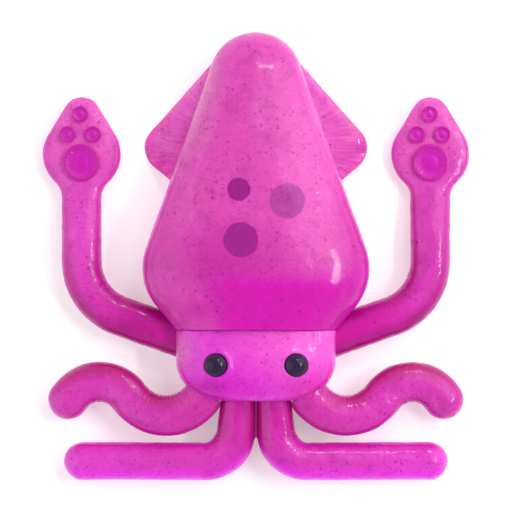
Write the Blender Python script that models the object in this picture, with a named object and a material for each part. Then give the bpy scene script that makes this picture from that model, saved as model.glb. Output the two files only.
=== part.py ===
"""A whole raw squid, lying limp on a flat surface with its belly down.

The mantle points along +Y and the arms lie towards -Y. X is across the animal and Z is up, with Z = 0
the surface that it rests on. The origin is the middle of the footprint. All lengths are in metres.
"""

import math

import bmesh
import bpy
from mathutils import Matrix, Vector

MM = 0.001
GAP = 0.3 * MM

# Mantle: the plan outline is a rounded nose, straight flaring sides, a rounded belly and a straight rim.
NOSE_Y = 120.3 * MM
RIM_Y = -39.7 * MM
NOSE_CORNER = (17.3 * MM, NOSE_Y)
NOSE_RADIUS = 24.2 * MM
BELLY_CORNER = (65.1 * MM, -12.9 * MM)
BELLY_RADIUS = 31.5 * MM
RIM_HALF_WIDTH = 42.8 * MM
RIM_HEIGHT = 38.0 * MM
BELLY_HEIGHT = 43.0 * MM
NOSE_HEIGHT = 27.0 * MM
NOSE_TIP_Z = 10.0 * MM
MANTLE_WALL = 3.6 * MM
COLLAR_DEPTH = 7.0 * MM

# Fins: thin flaps that leave the mantle low on its sides and droop to the table.
FIN_TOP = (10.0 * MM, 118.9 * MM)
FIN_CORNER = (65.7 * MM, 57.1 * MM)
FIN_CORNER_RADIUS = 13.0 * MM
FIN_BOTTOM = (29.2 * MM, 26.3 * MM)
FIN_ROOT_Z = 15.0 * MM
FIN_ROOT_THICKNESS = 6.5 * MM
FIN_EDGE_THICKNESS = 1.8 * MM
FIN_ROOT_INSET = 9.0 * MM
FIN_BREADTH = 27.5 * MM

# Head: a soft rounded box, as wide as the rim, with its neck inside the mantle's collar.
HEAD_FRONT_Y = -77.3 * MM
HEAD_HALF_WIDTH = 42.8 * MM
HEAD_CORNER_RADIUS = 22.0 * MM
HEAD_HEIGHT = 35.0 * MM
HEAD_LIP_HEIGHT = 27.5 * MM
HEAD_LIP_LENGTH = 13.0 * MM
HEAD_ROUNDNESS = 2.9
NECK_CLEARANCE = 0.9 * MM
NECK_LENGTH = 5.5 * MM

# Eyes: globes set into the top of the head, each in a low swelling.
EYE_X = 21.2 * MM
EYE_Y = -58.0 * MM
EYE_RADIUS = 7.9 * MM
EYE_Z = 30.6 * MM
EYE_BULGE = 2.2 * MM
EYE_BULGE_SPREAD = 8.5 * MM

# Funnel: the short flattened tube under the neck.
FUNNEL_BACK_Y = -36.0 * MM
FUNNEL_MOUTH_Y = -68.0 * MM
FUNNEL_BACK_HALF_WIDTH = 15.0 * MM
FUNNEL_MOUTH_HALF_WIDTH = 7.0 * MM
FUNNEL_BACK_Z = (4.4 * MM, 14.5 * MM)
FUNNEL_MOUTH_Z = (0.3 * MM, 9.0 * MM)
FUNNEL_WALL = 2.0 * MM
FUNNEL_HOLE_DEPTH = 9.0 * MM
FUNNEL_ROUNDNESS = 2.1

# Tentacles: a stalk that leaves the side of the head, turns up beside the mantle and ends in a club.
TENTACLE_START = (-38.0 * MM, -44.7 * MM)
TENTACLE_HEADING = 160.5
TENTACLE_LEAD = 36.9 * MM
TENTACLE_BEND_RADIUS = 31.4 * MM
TENTACLE_X = -93.8 * MM
STALK_HALF_WIDTH = 10.8 * MM
STALK_HEIGHT = 16.5 * MM
CLUB_TIP_Y = 85.7 * MM
CLUB_NOSE_CORNER = (5.7 * MM, CLUB_TIP_Y)
CLUB_NOSE_RADIUS = 11.6 * MM
CLUB_CORNER = (26.8 * MM, 51.2 * MM)
CLUB_RADIUS = 20.5 * MM
CLUB_NECK_Y = 36.3 * MM
CLUB_NECK_RADIUS = 10.5 * MM
CLUB_HEIGHT = 10.5 * MM
CLUB_TIP_Z = 3.5 * MM

# The club's suckers: (across from the club's middle line, Y, radius).
SUCKERS = (
    (-0.6 * MM, 76.2 * MM, 4.5 * MM),
    (-7.5 * MM, 65.3 * MM, 4.5 * MM),
    (6.3 * MM, 65.3 * MM, 4.5 * MM),
    (0.0, 50.2 * MM, 10.0 * MM),
)
SUCKER_RISE = 1.6 * MM
SUCKER_CUP_DEPTH = 1.1 * MM

# Arms: pairs 1 and 2 lie on top, and pairs 3 and 4 run below them, shorter and thinner.
ARM_LAYER_Z = 11.0 * MM
ARM_HEIGHT = 16.0 * MM
ARM_LANDING_SHARE = 0.94
LOWER_ARM_SHARE = 0.76
LOWER_ARM_HALF_WIDTH = 7.5 * MM
LOWER_ARM_TIP_HALF_WIDTH = 1.6 * MM
LOWER_ARM_LEAST_HEIGHT = 1.2 * MM
WAVY_START = (-27.3 * MM, -73.4 * MM)
WAVY_HEADING = 240.0
VALLEY_RADIUS = 24.4 * MM
VALLEY_TURN = -113.4
CREST_RADIUS = 19.9 * MM
CREST_TURN = 111.7
WAVY_ARM_HALF_WIDTH = 10.9 * MM
BENT_START = (-8.5 * MM, -66.0 * MM)
BENT_HEADING = 265.3
BENT_LEAD = 28.9 * MM
BENT_RADIUS = 16.8 * MM
BENT_TURN = -85.3
BENT_RUN = 65.4 * MM
BENT_ARM_HALF_WIDTHS = (8.4 * MM, 10.8 * MM, 10.2 * MM)
BENT_ARM_WIDEST_SHARE = 0.30
BENT_ARM_RUN_SHARE = 0.45

# How a limp body's section sits: its widest point is low, and its underside is pressed flat.
WIDEST_SHARE = 0.43
UNDERSIDE_FLATNESS = 1.35
SECTION_ROUNDNESS = 2.3

COLOURS = {
    "mantle": (0.74, 0.095, 0.48),
    "fin": (0.69, 0.089, 0.47),
    "head": (0.76, 0.061, 0.58),
    "eye": (0.041, 0.021, 0.063),
    "funnel": (0.80, 0.30, 0.52),
    "tentacle": (0.69, 0.065, 0.48),
    "arm": (0.62, 0.042, 0.40),
}


def clear_scene():
    """Removes every object that the file opened with."""
    for obj in list(bpy.data.objects):
        bpy.data.objects.remove(obj)


def wet_material(name, roughness=0.32):
    """A wet, slightly translucent flesh of the part's colour."""
    material = bpy.data.materials.new(name)
    material.use_nodes = True
    shader = material.node_tree.nodes["Principled BSDF"]
    shader.inputs["Base Color"].default_value = (*COLOURS[name], 1.0)
    shader.inputs["Roughness"].default_value = roughness
    shader.inputs["Metallic"].default_value = 0.0
    return material


def ease(share):
    """Smooth step from 0 to 1."""
    share = min(1.0, max(0.0, share))
    return share * share * (3.0 - 2.0 * share)


def mix(first, last, share):
    return first + (last - first) * share


def signed_power(value, power):
    return math.copysign(abs(value) ** power, value)


# Plan outlines and routes


def filleted(corners, radii, step):
    """Points along an open polyline whose inner corners are rounded by arcs of the given radii."""
    points = [Vector(corners[0])]
    for before, corner, after, radius in zip(corners, corners[1:], corners[2:], radii):
        corner = Vector(corner)
        inward = (Vector(before) - corner).normalized()
        outward = (Vector(after) - corner).normalized()
        half_turn = (math.pi - inward.angle(outward)) / 2.0
        start = corner + inward * radius * math.tan(half_turn)
        end = corner + outward * radius * math.tan(half_turn)
        centre = corner + (inward + outward).normalized() * radius / math.cos(half_turn)
        add_line(points, start, step)
        spoke = start - centre
        turn = math.copysign(2.0 * half_turn, spoke.cross(end - centre))
        pieces = max(2, math.ceil(abs(turn) * radius / step))
        for i in range(1, pieces + 1):
            points.append(centre + Matrix.Rotation(turn * i / pieces, 2) @ spoke)
    add_line(points, Vector(corners[-1]), step)
    return points


def add_line(points, end, step):
    """Extends a list of points in a straight line to the end."""
    start = points[-1]
    pieces = math.ceil((end - start).length / step)
    points.extend(start.lerp(end, i / pieces) for i in range(1, pieces + 1))


def route(start, heading, moves, step):
    """Stations (position, heading in radians) along lines and arcs; a move is (length, turn in degrees)."""
    position = Vector(start)
    heading = math.radians(heading)
    stations = [(position.copy(), heading)]
    for length, turn in moves:
        pieces = math.ceil(length / (step if turn else 1.8 * step))
        bend = math.radians(turn) / pieces
        for _ in range(pieces):
            middle = heading + bend / 2.0
            chord = length / pieces
            if bend:
                chord *= math.sin(bend / 2.0) / (bend / 2.0)
            position = position + Vector((math.cos(middle), math.sin(middle))) * chord
            heading += bend
            stations.append((position.copy(), heading))
    return stations


def arc(radius, turn):
    """A route move round an arc."""
    return (radius * math.radians(abs(turn)), turn)


def length_along(stations):
    """The distance of each station from the first."""
    total = 0.0
    lengths = [total]
    for (a, _), (b, _) in zip(stations, stations[1:]):
        total += (b - a).length
        lengths.append(total)
    return lengths


# Sections and lofts


def limp_section(half_width, bottom, top, count, roundness=SECTION_ROUNDNESS, flatness=UNDERSIDE_FLATNESS):
    """Points (across, up) round the section of a soft body that rests on its underside."""
    widest = mix(bottom, top, WIDEST_SHARE)
    points = []
    for i in range(count):
        angle = 2.0 * math.pi * i / count
        across = half_width * signed_power(math.cos(angle), 2.0 / roundness)
        rise = signed_power(math.sin(angle), 2.0 / roundness)
        if rise > 0.0:
            up = widest + (top - widest) * rise
        else:
            up = widest + (widest - bottom) * max(-1.0, rise * flatness)
        points.append((across, up))
    return points


def next_ring(bm, ring):
    """Extrudes a closed ring of vertices, and returns the new ring in the same order."""
    edges = [bm.edges.get((a, b)) for a, b in zip(ring, ring[1:] + ring[:1])]
    made = bmesh.ops.extrude_edge_only(bm, edges=edges)["geom"]
    fresh = {item for item in made if isinstance(item, bmesh.types.BMVert)}
    return [next(e.other_vert(v) for e in v.link_edges if e.other_vert(v) in fresh) for v in ring]


def place(ring, points):
    for vert, point in zip(ring, points):
        vert.co = point


def loft(name, sections, pole=None):
    """An object made by extruding a ring through each section, capped flat or closed at a pole."""
    bm = bmesh.new()
    ring = bmesh.ops.create_circle(bm, segments=len(sections[0]), radius=1.0)["verts"]
    place(ring, sections[0])
    first = ring
    for points in sections[1:]:
        ring = next_ring(bm, ring)
        place(ring, points)
    bm.faces.new(first)
    if pole is None:
        bm.faces.new(ring)
    else:
        ring = next_ring(bm, ring)
        bmesh.ops.pointmerge(bm, verts=ring, merge_co=pole)
    bmesh.ops.recalc_face_normals(bm, faces=bm.faces)
    return as_object(name, bm)


def as_object(name, bm):
    mesh = bpy.data.meshes.new(name)
    bm.to_mesh(mesh)
    bm.free()
    mesh.shade_smooth()
    obj = bpy.data.objects.new(name, mesh)
    bpy.context.scene.collection.objects.link(obj)
    return obj


def as_cutter(obj):
    """Hides a shape that only cuts others."""
    obj.hide_render = True
    obj.display_type = "WIRE"
    return obj


def cut(obj, *cutters):
    """Takes each cutter away from the object."""
    for cutter in cutters:
        modifier = obj.modifiers.new("cut_" + cutter.name, "BOOLEAN")
        modifier.operation = "DIFFERENCE"
        modifier.object = cutter


def fuse(obj, *others):
    """Joins other closed shapes to the object."""
    for other in others:
        modifier = obj.modifiers.new("with_" + other.name, "BOOLEAN")
        modifier.operation = "UNION"
        modifier.object = as_cutter(other)


def across_route(station, points):
    """Places a section's points (across, up) square to a route at a station."""
    position, heading = station
    side = Vector((math.sin(heading), -math.cos(heading)))
    return [Vector((*(position + side * across), up)) for across, up in points]


def round_end(half_width, count):
    """Shares of the half width, with the distance past the last full section, for a rounded end."""
    for i in range(1, count):
        angle = math.pi / 2.0 * i / count
        yield math.cos(angle), half_width * math.sin(angle)


def mirrored(obj, name):
    """The same shape on the other side of the animal."""
    bm = bmesh.new()
    bm.from_mesh(obj.data)
    for vert in bm.verts:
        vert.co.x = -vert.co.x
    bmesh.ops.reverse_faces(bm, faces=bm.faces)
    return as_object(name, bm)


# Mantle and fins


def mantle_outline(step):
    """The right half of the mantle's plan outline, from the nose's tip to the rim."""
    corners = [(0.0, NOSE_Y), NOSE_CORNER, BELLY_CORNER, (RIM_HALF_WIDTH, RIM_Y)]
    outline = filleted(corners, [NOSE_RADIUS, BELLY_RADIUS], step)
    return [point for point in outline if point.x > MM]


def mantle_top(y):
    """Height of the mantle's back above the table."""
    belly_y = BELLY_CORNER[1]
    if y < belly_y:
        return mix(BELLY_HEIGHT, RIM_HEIGHT, ease((belly_y - y) / (belly_y - RIM_Y)))
    return mix(BELLY_HEIGHT, NOSE_HEIGHT, (((y - belly_y) / (NOSE_Y - belly_y)) ** 1.2))


def mantle_section(half_width, y, grow, count):
    """One ring of the mantle, closing towards the nose's tip as the outline does."""
    nose_y = NOSE_Y - NOSE_RADIUS
    closing = math.sqrt(max(0.0, 1.0 - (max(0.0, y - nose_y) / NOSE_RADIUS) ** 2))
    top = mix(NOSE_TIP_Z, mantle_top(y), closing) + grow
    bottom = mix(NOSE_TIP_Z, 0.0, closing) - grow
    return [(x, y, z) for x, z in limp_section(half_width + grow, bottom, top, count)]


def collar_section(y, inset, count):
    """A ring inside the rim, a wall's thickness in from the outside."""
    points = limp_section(RIM_HALF_WIDTH - inset, inset, RIM_HEIGHT - inset, count)
    return [(x, y, z) for x, z in points]


def make_mantle():
    """The mantle, with a shallow collar at the rim that takes the neck."""
    count = 32
    sections = [mantle_section(x, y, 0.0, count) for x, y in mantle_outline(8.5 * MM)]
    sections.append(collar_section(RIM_Y, MANTLE_WALL, count))
    sections.append(collar_section(RIM_Y + COLLAR_DEPTH, MANTLE_WALL, count))
    return loft("mantle", sections[::-1], pole=(0.0, NOSE_Y, NOSE_TIP_Z))


def make_mantle_clearance():
    """The mantle grown by the gap that its neighbours keep, without its collar."""
    sections = [mantle_section(x, y, GAP, 32) for x, y in mantle_outline(8.5 * MM)]
    return as_cutter(loft("mantle_clearance", sections[::-1], pole=(0.0, NOSE_Y + GAP, NOSE_TIP_Z)))


def make_fin():
    """The left fin: a thin flap, thick at its root and drooping to the table at its edge."""
    sections = []
    outline = filleted([FIN_BOTTOM, FIN_CORNER, FIN_TOP], [FIN_CORNER_RADIUS], 5.2 * MM)
    for edge in outline[1:-1]:
        root_x = max(2.0 * MM, side_of_mantle(edge.y) - FIN_ROOT_INSET)
        sections.append(fin_section(-root_x, -edge.x, edge.y))
    return loft("fin_left", sections)


def side_of_mantle(y):
    """The mantle's half width at Y, on its straight side."""
    share = (NOSE_CORNER[1] - y) / (NOSE_CORNER[1] - BELLY_CORNER[1])
    return mix(NOSE_CORNER[0], BELLY_CORNER[0], share)


def fin_section(root_x, edge_x, y):
    """A closed ring through the fin at Y, over its upper face and back along its lower face."""
    shares = (0.0, 0.25, 0.5, 0.75, 0.93)
    reach = min(1.0, abs(edge_x - root_x) / FIN_BREADTH)
    upper = []
    lower = []
    for share in shares:
        x = mix(root_x, edge_x, share)
        droop = ease(reach * share)
        middle = mix(FIN_ROOT_Z, FIN_EDGE_THICKNESS, droop)
        half = mix(FIN_ROOT_THICKNESS, FIN_EDGE_THICKNESS, share) / 2.0
        upper.append((x, y, middle + half))
        lower.append((x, y, max(0.0, middle - half)))
    edge_z = mix(FIN_ROOT_Z, FIN_EDGE_THICKNESS, ease(reach))
    return [*upper, (edge_x, y, edge_z), *reversed(lower)]


# Head, eyes and funnel


def head_outline(step):
    """The right half of the head's plan outline, from the rim to the front."""
    side = HEAD_HALF_WIDTH
    corners = [(side, RIM_Y - GAP), (side, HEAD_FRONT_Y), (0.0, HEAD_FRONT_Y)]
    points = filleted(corners, [HEAD_CORNER_RADIUS], step)
    flat = HEAD_FRONT_Y + 0.01 * MM
    return [p for p in points if p.y > flat] + [Vector((side - HEAD_CORNER_RADIUS, HEAD_FRONT_Y))]


def head_top(y):
    """Height of the head, which rounds down at its front lip."""
    over = max(0.0, HEAD_FRONT_Y + HEAD_LIP_LENGTH - y) / HEAD_LIP_LENGTH
    return mix(HEAD_LIP_HEIGHT, HEAD_HEIGHT, math.sqrt(max(0.0, 1.0 - over**2)))


def eye_swelling(x, y):
    """How far the skin rises round the eyes."""
    away = math.hypot(abs(x) - EYE_X, y - EYE_Y)
    return EYE_BULGE * math.exp(-((away / EYE_BULGE_SPREAD) ** 2) / 2.0)


def head_section(half_width, y, grow, count):
    """One ring of the head."""
    top = head_top(y) + grow
    points = limp_section(half_width + grow, -grow, top, count, roundness=HEAD_ROUNDNESS)
    return [(x, y, z + eye_swelling(x, y) * ease(2.0 * z / top - 1.0)) for x, z in points]


def make_head(grow=0.0, name="head"):
    """The head with its neck, or the head grown by a gap, to cut its neighbours back."""
    count = 32
    sections = [head_section(x, y, grow, count) for x, y in head_outline(5.0 * MM)]
    neck = MANTLE_WALL + NECK_CLEARANCE - grow
    sections.insert(0, collar_section(RIM_Y - GAP, neck, count))
    sections.insert(0, collar_section(RIM_Y + NECK_LENGTH, neck, count))
    return loft(name, sections)


def make_eye(side, name, grow=0.0):
    """An eye's globe."""
    bm = bmesh.new()
    bmesh.ops.create_uvsphere(bm, u_segments=14, v_segments=8, radius=EYE_RADIUS + grow)
    bmesh.ops.translate(bm, verts=bm.verts, vec=(side * EYE_X, EYE_Y, EYE_Z))
    return as_object(name, bm)


def funnel_section(share, inset, count):
    """A ring of the funnel, at a share of its length from back to mouth."""
    y = mix(FUNNEL_BACK_Y, FUNNEL_MOUTH_Y, share)
    half_width = mix(FUNNEL_BACK_HALF_WIDTH, FUNNEL_MOUTH_HALF_WIDTH, ease(share)) - inset
    bottom = mix(FUNNEL_BACK_Z[0], FUNNEL_MOUTH_Z[0], ease(2.0 * share)) + inset
    top = mix(FUNNEL_BACK_Z[1], FUNNEL_MOUTH_Z[1], share) - inset
    points = limp_section(half_width, bottom, top, count, roundness=FUNNEL_ROUNDNESS)
    return [(x, y, z) for x, z in points]


def make_funnel():
    """The funnel, a tapering tube with an open mouth."""
    count = 16
    steps = 6
    sections = [funnel_section(i / steps, 0.0, count) for i in range(steps + 1)]
    sections.append(funnel_section(1.0, FUNNEL_WALL, count))
    depth = FUNNEL_HOLE_DEPTH / (FUNNEL_BACK_Y - FUNNEL_MOUTH_Y)
    sections.append(funnel_section(1.0 - depth, FUNNEL_WALL, count))
    return loft("funnel", sections)


def make_funnel_clearance():
    """The funnel grown by a gap, run past both its ends and open below, to cut its groove in the head."""
    steps = 6
    shares = [-0.2, *(i / steps for i in range(steps + 1)), 1.45]
    sections = []
    for share in shares:
        section = funnel_section(share, -2.0 * GAP, 16)
        sections.append([(x, y, z if z > FUNNEL_WALL else z - 2.0 * FUNNEL_WALL) for x, y, z in section])
    return as_cutter(loft("funnel_clearance", sections))


# Tentacles


def club_half_width(y):
    """Half width of the tentacle's upright run at Y, from the stalk to the club's tip."""
    corners = [
        (STALK_HALF_WIDTH, 0.0),
        (STALK_HALF_WIDTH, CLUB_NECK_Y),
        CLUB_CORNER,
        CLUB_NOSE_CORNER,
        (0.0, CLUB_TIP_Y),
    ]
    radii = [CLUB_NECK_RADIUS, CLUB_RADIUS, CLUB_NOSE_RADIUS]
    outline = filleted(corners, radii, 0.5 * MM)
    for low, high in zip(outline, outline[1:]):
        if low.y <= y <= high.y and high.y > low.y:
            return mix(low.x, high.x, (y - low.y) / (high.y - low.y))
    return STALK_HALF_WIDTH if y < CLUB_NECK_Y else 0.0


def make_tentacle():
    """The left tentacle, with its club and the club's four large suckers."""
    moves = [(TENTACLE_LEAD, 0.0), arc(TENTACLE_BEND_RADIUS, 90.0 - TENTACLE_HEADING)]
    stations = route(TENTACLE_START, TENTACLE_HEADING, moves, 6.5 * MM)
    top_of_bend = stations[-1][0].y
    steps = 20
    for i in range(1, steps):
        share = math.sin(math.pi / 2.0 * i / steps)
        y = mix(top_of_bend, CLUB_TIP_Y, share)
        stations.append((Vector((TENTACLE_X, y)), math.pi / 2.0))
    sections = []
    for position, heading in stations:
        upright = position.y > top_of_bend
        half_width = club_half_width(position.y) if upright else STALK_HALF_WIDTH
        top = tentacle_top(position.y)
        closing = min(1.0, half_width / CLUB_NOSE_RADIUS) if position.y > CLUB_CORNER[1] else 1.0
        bottom = mix(CLUB_TIP_Z, 0.0, closing)
        top = mix(CLUB_TIP_Z, top, closing)
        points = limp_section(half_width, bottom, top, 14)
        sections.append(across_route((position, heading), points))
    return loft("tentacle_left", sections, pole=(TENTACLE_X, CLUB_TIP_Y, CLUB_TIP_Z))


def tentacle_top(y):
    """Height of the tentacle, which thins from its stalk to its club."""
    thinning = (y - CLUB_NECK_Y + CLUB_RADIUS) / (2.0 * CLUB_RADIUS)
    return mix(STALK_HEIGHT, CLUB_HEIGHT, ease(thinning))


def make_sucker(across, y, radius, name, x):
    """A round sucker: a fleshy ring with a dished cup, standing on the club."""
    segments = 18 if radius > 6.0 * MM else 12
    base_z = CLUB_HEIGHT - 2.5 * MM
    rim_z = CLUB_HEIGHT + SUCKER_RISE
    profile = (
        (radius * 0.90, base_z),
        (radius, rim_z - 0.7 * SUCKER_RISE),
        (radius * 0.95, rim_z - 0.15 * SUCKER_RISE),
        (radius * 0.86, rim_z),
        (radius * 0.72, rim_z - 0.35 * SUCKER_CUP_DEPTH),
        (radius * 0.45, rim_z - SUCKER_CUP_DEPTH),
    )
    sections = []
    for reach, z in profile:
        turn = [2.0 * math.pi * i / segments for i in range(segments)]
        sections.append([(x + across + reach * math.cos(a), y + reach * math.sin(a), z) for a in turn])
    return loft(name, sections, pole=(x + across, y, rim_z - SUCKER_CUP_DEPTH))


# Arms


def wavy_route(step):
    moves = [arc(VALLEY_RADIUS, VALLEY_TURN), arc(CREST_RADIUS, CREST_TURN)]
    return route(WAVY_START, WAVY_HEADING, moves, step)


def bent_route(step):
    moves = [(BENT_LEAD, 0.0), arc(BENT_RADIUS, BENT_TURN), (BENT_RUN, 0.0)]
    return route(BENT_START, BENT_HEADING, moves, step)


def arm_bottom(share):
    """Underside of an upper arm, which comes down from the lower arm to the table."""
    return ARM_LAYER_Z * max(0.0, 1.0 - share / ARM_LANDING_SHARE) ** 1.15


def pressed_at_middle(points):
    """Flattens a left arm's section where it meets its mirror image."""
    for point in points:
        point.x = min(point.x, -GAP / 2.0)
    return points


def arm_half_width(half_widths, share):
    """An upper arm's half width, from its root to its widest share and on to its run."""
    root, widest, run = half_widths
    if share < BENT_ARM_WIDEST_SHARE:
        return mix(root, widest, share / BENT_ARM_WIDEST_SHARE)
    beyond = (share - BENT_ARM_WIDEST_SHARE) / (BENT_ARM_RUN_SHARE - BENT_ARM_WIDEST_SHARE)
    return mix(widest, run, ease(beyond))


def make_upper_arm(name, stations, half_widths, grow=0.0):
    """An arm of the upper layer, with a rounded end."""
    lengths = length_along(stations)
    sections = []
    for station, length in zip(stations, lengths):
        share = length / lengths[-1]
        half_width = arm_half_width(half_widths, share)
        bottom = arm_bottom(share)
        points = limp_section(half_width + grow, bottom - grow, bottom + ARM_HEIGHT + grow, 12)
        sections.append(pressed_at_middle(across_route(station, points)))
    position, heading = stations[-1]
    onward = Vector((math.cos(heading), math.sin(heading)))
    middle = WIDEST_SHARE * ARM_HEIGHT
    for share, past in round_end(half_widths[-1] + grow, 5):
        points = limp_section(
            (half_widths[-1] + grow) * share,
            mix(middle, -grow, share),
            mix(middle, ARM_HEIGHT + grow, share),
            12,
        )
        sections.append(across_route((position + onward * past, heading), points))
    tip = position + onward * (half_widths[-1] + grow)
    return loft(name, sections, pole=(tip.x, tip.y, middle))


def make_lower_arm(name, stations):
    """An arm of the lower layer, which tapers to a fine tip under the arm that lies on it."""
    whole = length_along(stations)[-1]
    sections = []
    reached = 0
    for i, (station, length) in enumerate(zip(stations, length_along(stations))):
        share = length / whole
        top = arm_bottom(share) - 2.0 * GAP
        if share > LOWER_ARM_SHARE or top < LOWER_ARM_LEAST_HEIGHT:
            break
        taper = (share / LOWER_ARM_SHARE) ** 1.3
        half_width = mix(LOWER_ARM_HALF_WIDTH, LOWER_ARM_TIP_HALF_WIDTH, taper)
        sections.append(across_route(station, limp_section(half_width, 0.0, top, 8)))
        reached = i
    position, heading = stations[reached]
    tip = position + Vector((math.cos(heading), math.sin(heading))) * 2.0 * LOWER_ARM_TIP_HALF_WIDTH
    return loft(name, sections, pole=(tip.x, tip.y, 0.35 * LOWER_ARM_LEAST_HEIGHT))


# Assembly


def dress(obj, material):
    obj.data.materials.clear()
    obj.data.materials.append(material)


def make_pair(left, right_name, material, *cutters):
    """Dresses a left piece and its mirror image, and cuts both back from their neighbours."""
    pair = (left, mirrored(left, right_name))
    for obj in pair:
        dress(obj, material)
        cut(obj, *cutters)
    return pair


def main():
    clear_scene()
    materials = {name: wet_material(name) for name in COLOURS if name != "eye"}
    materials["eye"] = wet_material("eye", roughness=0.08)

    mantle = make_mantle()
    dress(mantle, materials["mantle"])
    mantle_clearance = make_mantle_clearance()
    head_clearance = as_cutter(make_head(GAP, "head_clearance"))

    head = make_head()
    dress(head, materials["head"])
    for side, name in ((-1.0, "eye_left"), (1.0, "eye_right")):
        dress(make_eye(side, name), materials["eye"])
        cut(head, as_cutter(make_eye(side, name + "_socket", GAP)))
    dress(make_funnel(), materials["funnel"])
    cut(head, make_funnel_clearance())

    make_pair(make_fin(), "fin_right", materials["fin"], mantle_clearance)

    tentacles = make_pair(
        make_tentacle(), "tentacle_right", materials["tentacle"], mantle_clearance, head_clearance
    )
    for tentacle, x in zip(tentacles, (TENTACLE_X, -TENTACLE_X)):
        for i, (across, y, radius) in enumerate(SUCKERS, start=1):
            fuse(tentacle, make_sucker(across, y, radius, f"{tentacle.name}_sucker_{i}", x))

    bent = bent_route(5.5 * MM)
    wavy = wavy_route(5.0 * MM)
    arm_1 = make_upper_arm("arm_1_left", bent, BENT_ARM_HALF_WIDTHS)
    arm_1_clearance = as_cutter(make_upper_arm("arm_1_clearance", bent, BENT_ARM_HALF_WIDTHS, GAP))
    other_clearance = as_cutter(mirrored(arm_1_clearance, "arm_1_clearance_right"))
    make_pair(arm_1, "arm_1_right", materials["arm"], head_clearance)
    wavy_widths = (WAVY_ARM_HALF_WIDTH,) * 3
    arm_2 = make_upper_arm("arm_2_left", wavy, wavy_widths)
    make_pair(arm_2, "arm_2_right", materials["arm"], head_clearance, arm_1_clearance, other_clearance)
    arm_3 = make_lower_arm("arm_3_left", wavy)
    make_pair(arm_3, "arm_3_right", materials["arm"], head_clearance)
    arm_4 = make_lower_arm("arm_4_left", bent)
    make_pair(arm_4, "arm_4_right", materials["arm"], head_clearance)


main()
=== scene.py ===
"""The looks of a whole raw squid that lies limp with its belly down.

Each sub-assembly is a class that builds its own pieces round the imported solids: the mantle, the fins,
the head with its eyes, the funnel, the tentacles and the arms. +Y runs to the mantle's tip, +X is
across the animal and +Z is up from the table. All lengths are in metres.
"""

import logging
import math
from dataclasses import dataclass, replace
from enum import Enum

import bmesh
import bpy
import numpy as np
from mathutils import Matrix, Vector


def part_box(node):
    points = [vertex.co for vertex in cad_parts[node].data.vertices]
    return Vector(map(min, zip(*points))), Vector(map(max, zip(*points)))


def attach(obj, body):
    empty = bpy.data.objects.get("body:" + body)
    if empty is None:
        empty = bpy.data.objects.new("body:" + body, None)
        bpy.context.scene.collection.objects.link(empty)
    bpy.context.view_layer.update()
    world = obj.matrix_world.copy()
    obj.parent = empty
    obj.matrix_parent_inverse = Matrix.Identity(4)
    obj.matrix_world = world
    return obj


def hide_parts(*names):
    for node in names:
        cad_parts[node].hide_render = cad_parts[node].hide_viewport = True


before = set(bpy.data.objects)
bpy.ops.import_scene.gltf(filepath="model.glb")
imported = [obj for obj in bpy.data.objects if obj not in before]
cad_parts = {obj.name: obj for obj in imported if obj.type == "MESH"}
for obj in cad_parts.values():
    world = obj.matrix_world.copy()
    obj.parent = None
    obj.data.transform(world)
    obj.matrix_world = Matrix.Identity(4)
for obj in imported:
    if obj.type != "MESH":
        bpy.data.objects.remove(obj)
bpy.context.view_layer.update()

MM = 0.001
FILM_HAZE = 0.022
SKIN_GAIN = 0.95
DARKEST = 0.001
TINY = 1e-12
MERGE = 0.001 * MM
TABLE_GAP = 0.05 * MM
LOG = logging.getLogger("squid")

BMesh = bmesh.types.BMesh
Material = bpy.types.Material
Socket = bpy.types.NodeSocket
Rings = np.ndarray
Colour = tuple[float, float, float]
Number = float | np.ndarray
Lump = float | tuple[float, float, float]
Feed = Socket | float | tuple[float, ...]


class Side(Enum):
    """A side of the animal, with the sign of X there."""

    LEFT = -1.0
    RIGHT = 1.0

    @property
    def word(self) -> str:
        """The side's name as node names spell it."""
        return self.name.lower()


# Numbers and noise


def srgb(red: int, green: int, blue: int) -> Colour:
    """Turns a screen colour, with channels from 0 to 255, into the linear one that shaders take."""
    shares = (channel / 255.0 for channel in (red, green, blue))
    return tuple(s / 12.92 if s <= 0.04045 else ((s + 0.055) / 1.055) ** 2.4 for s in shares)


def pigment(red: int, green: int, blue: int) -> Colour:
    """The linear colour that shows as a screen colour under the wet film, which adds a pale haze; it serves
    for pigment and for painted light and shade alike.
    """
    return tuple(max(DARKEST, channel - FILM_HAZE) / SKIN_GAIN for channel in srgb(red, green, blue))


def mix(first: Number, last: Number, share: Number) -> Number:
    """Goes from first to last by a share."""
    return first + (last - first) * share


def ease(share: Number) -> Number:
    """Smooth step from 0 to 1, of a number or an array."""
    share = np.clip(share, 0.0, 1.0)
    return share * share * (3.0 - 2.0 * share)


def bump(value: Number, centre: float, width: float) -> Number:
    """A bell of height 1 round a centre."""
    return np.exp(-(((value - centre) / width) ** 2))


def circle(count: int) -> np.ndarray:
    """Evenly spaced angles round a circle, from +X."""
    return 2.0 * math.pi * np.arange(count) / count


def distances(places: np.ndarray) -> np.ndarray:
    """The distance of each place from the first, along the line through them all."""
    return np.concatenate(([0.0], np.cumsum(np.linalg.norm(np.diff(places, axis=0), axis=-1))))


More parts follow.
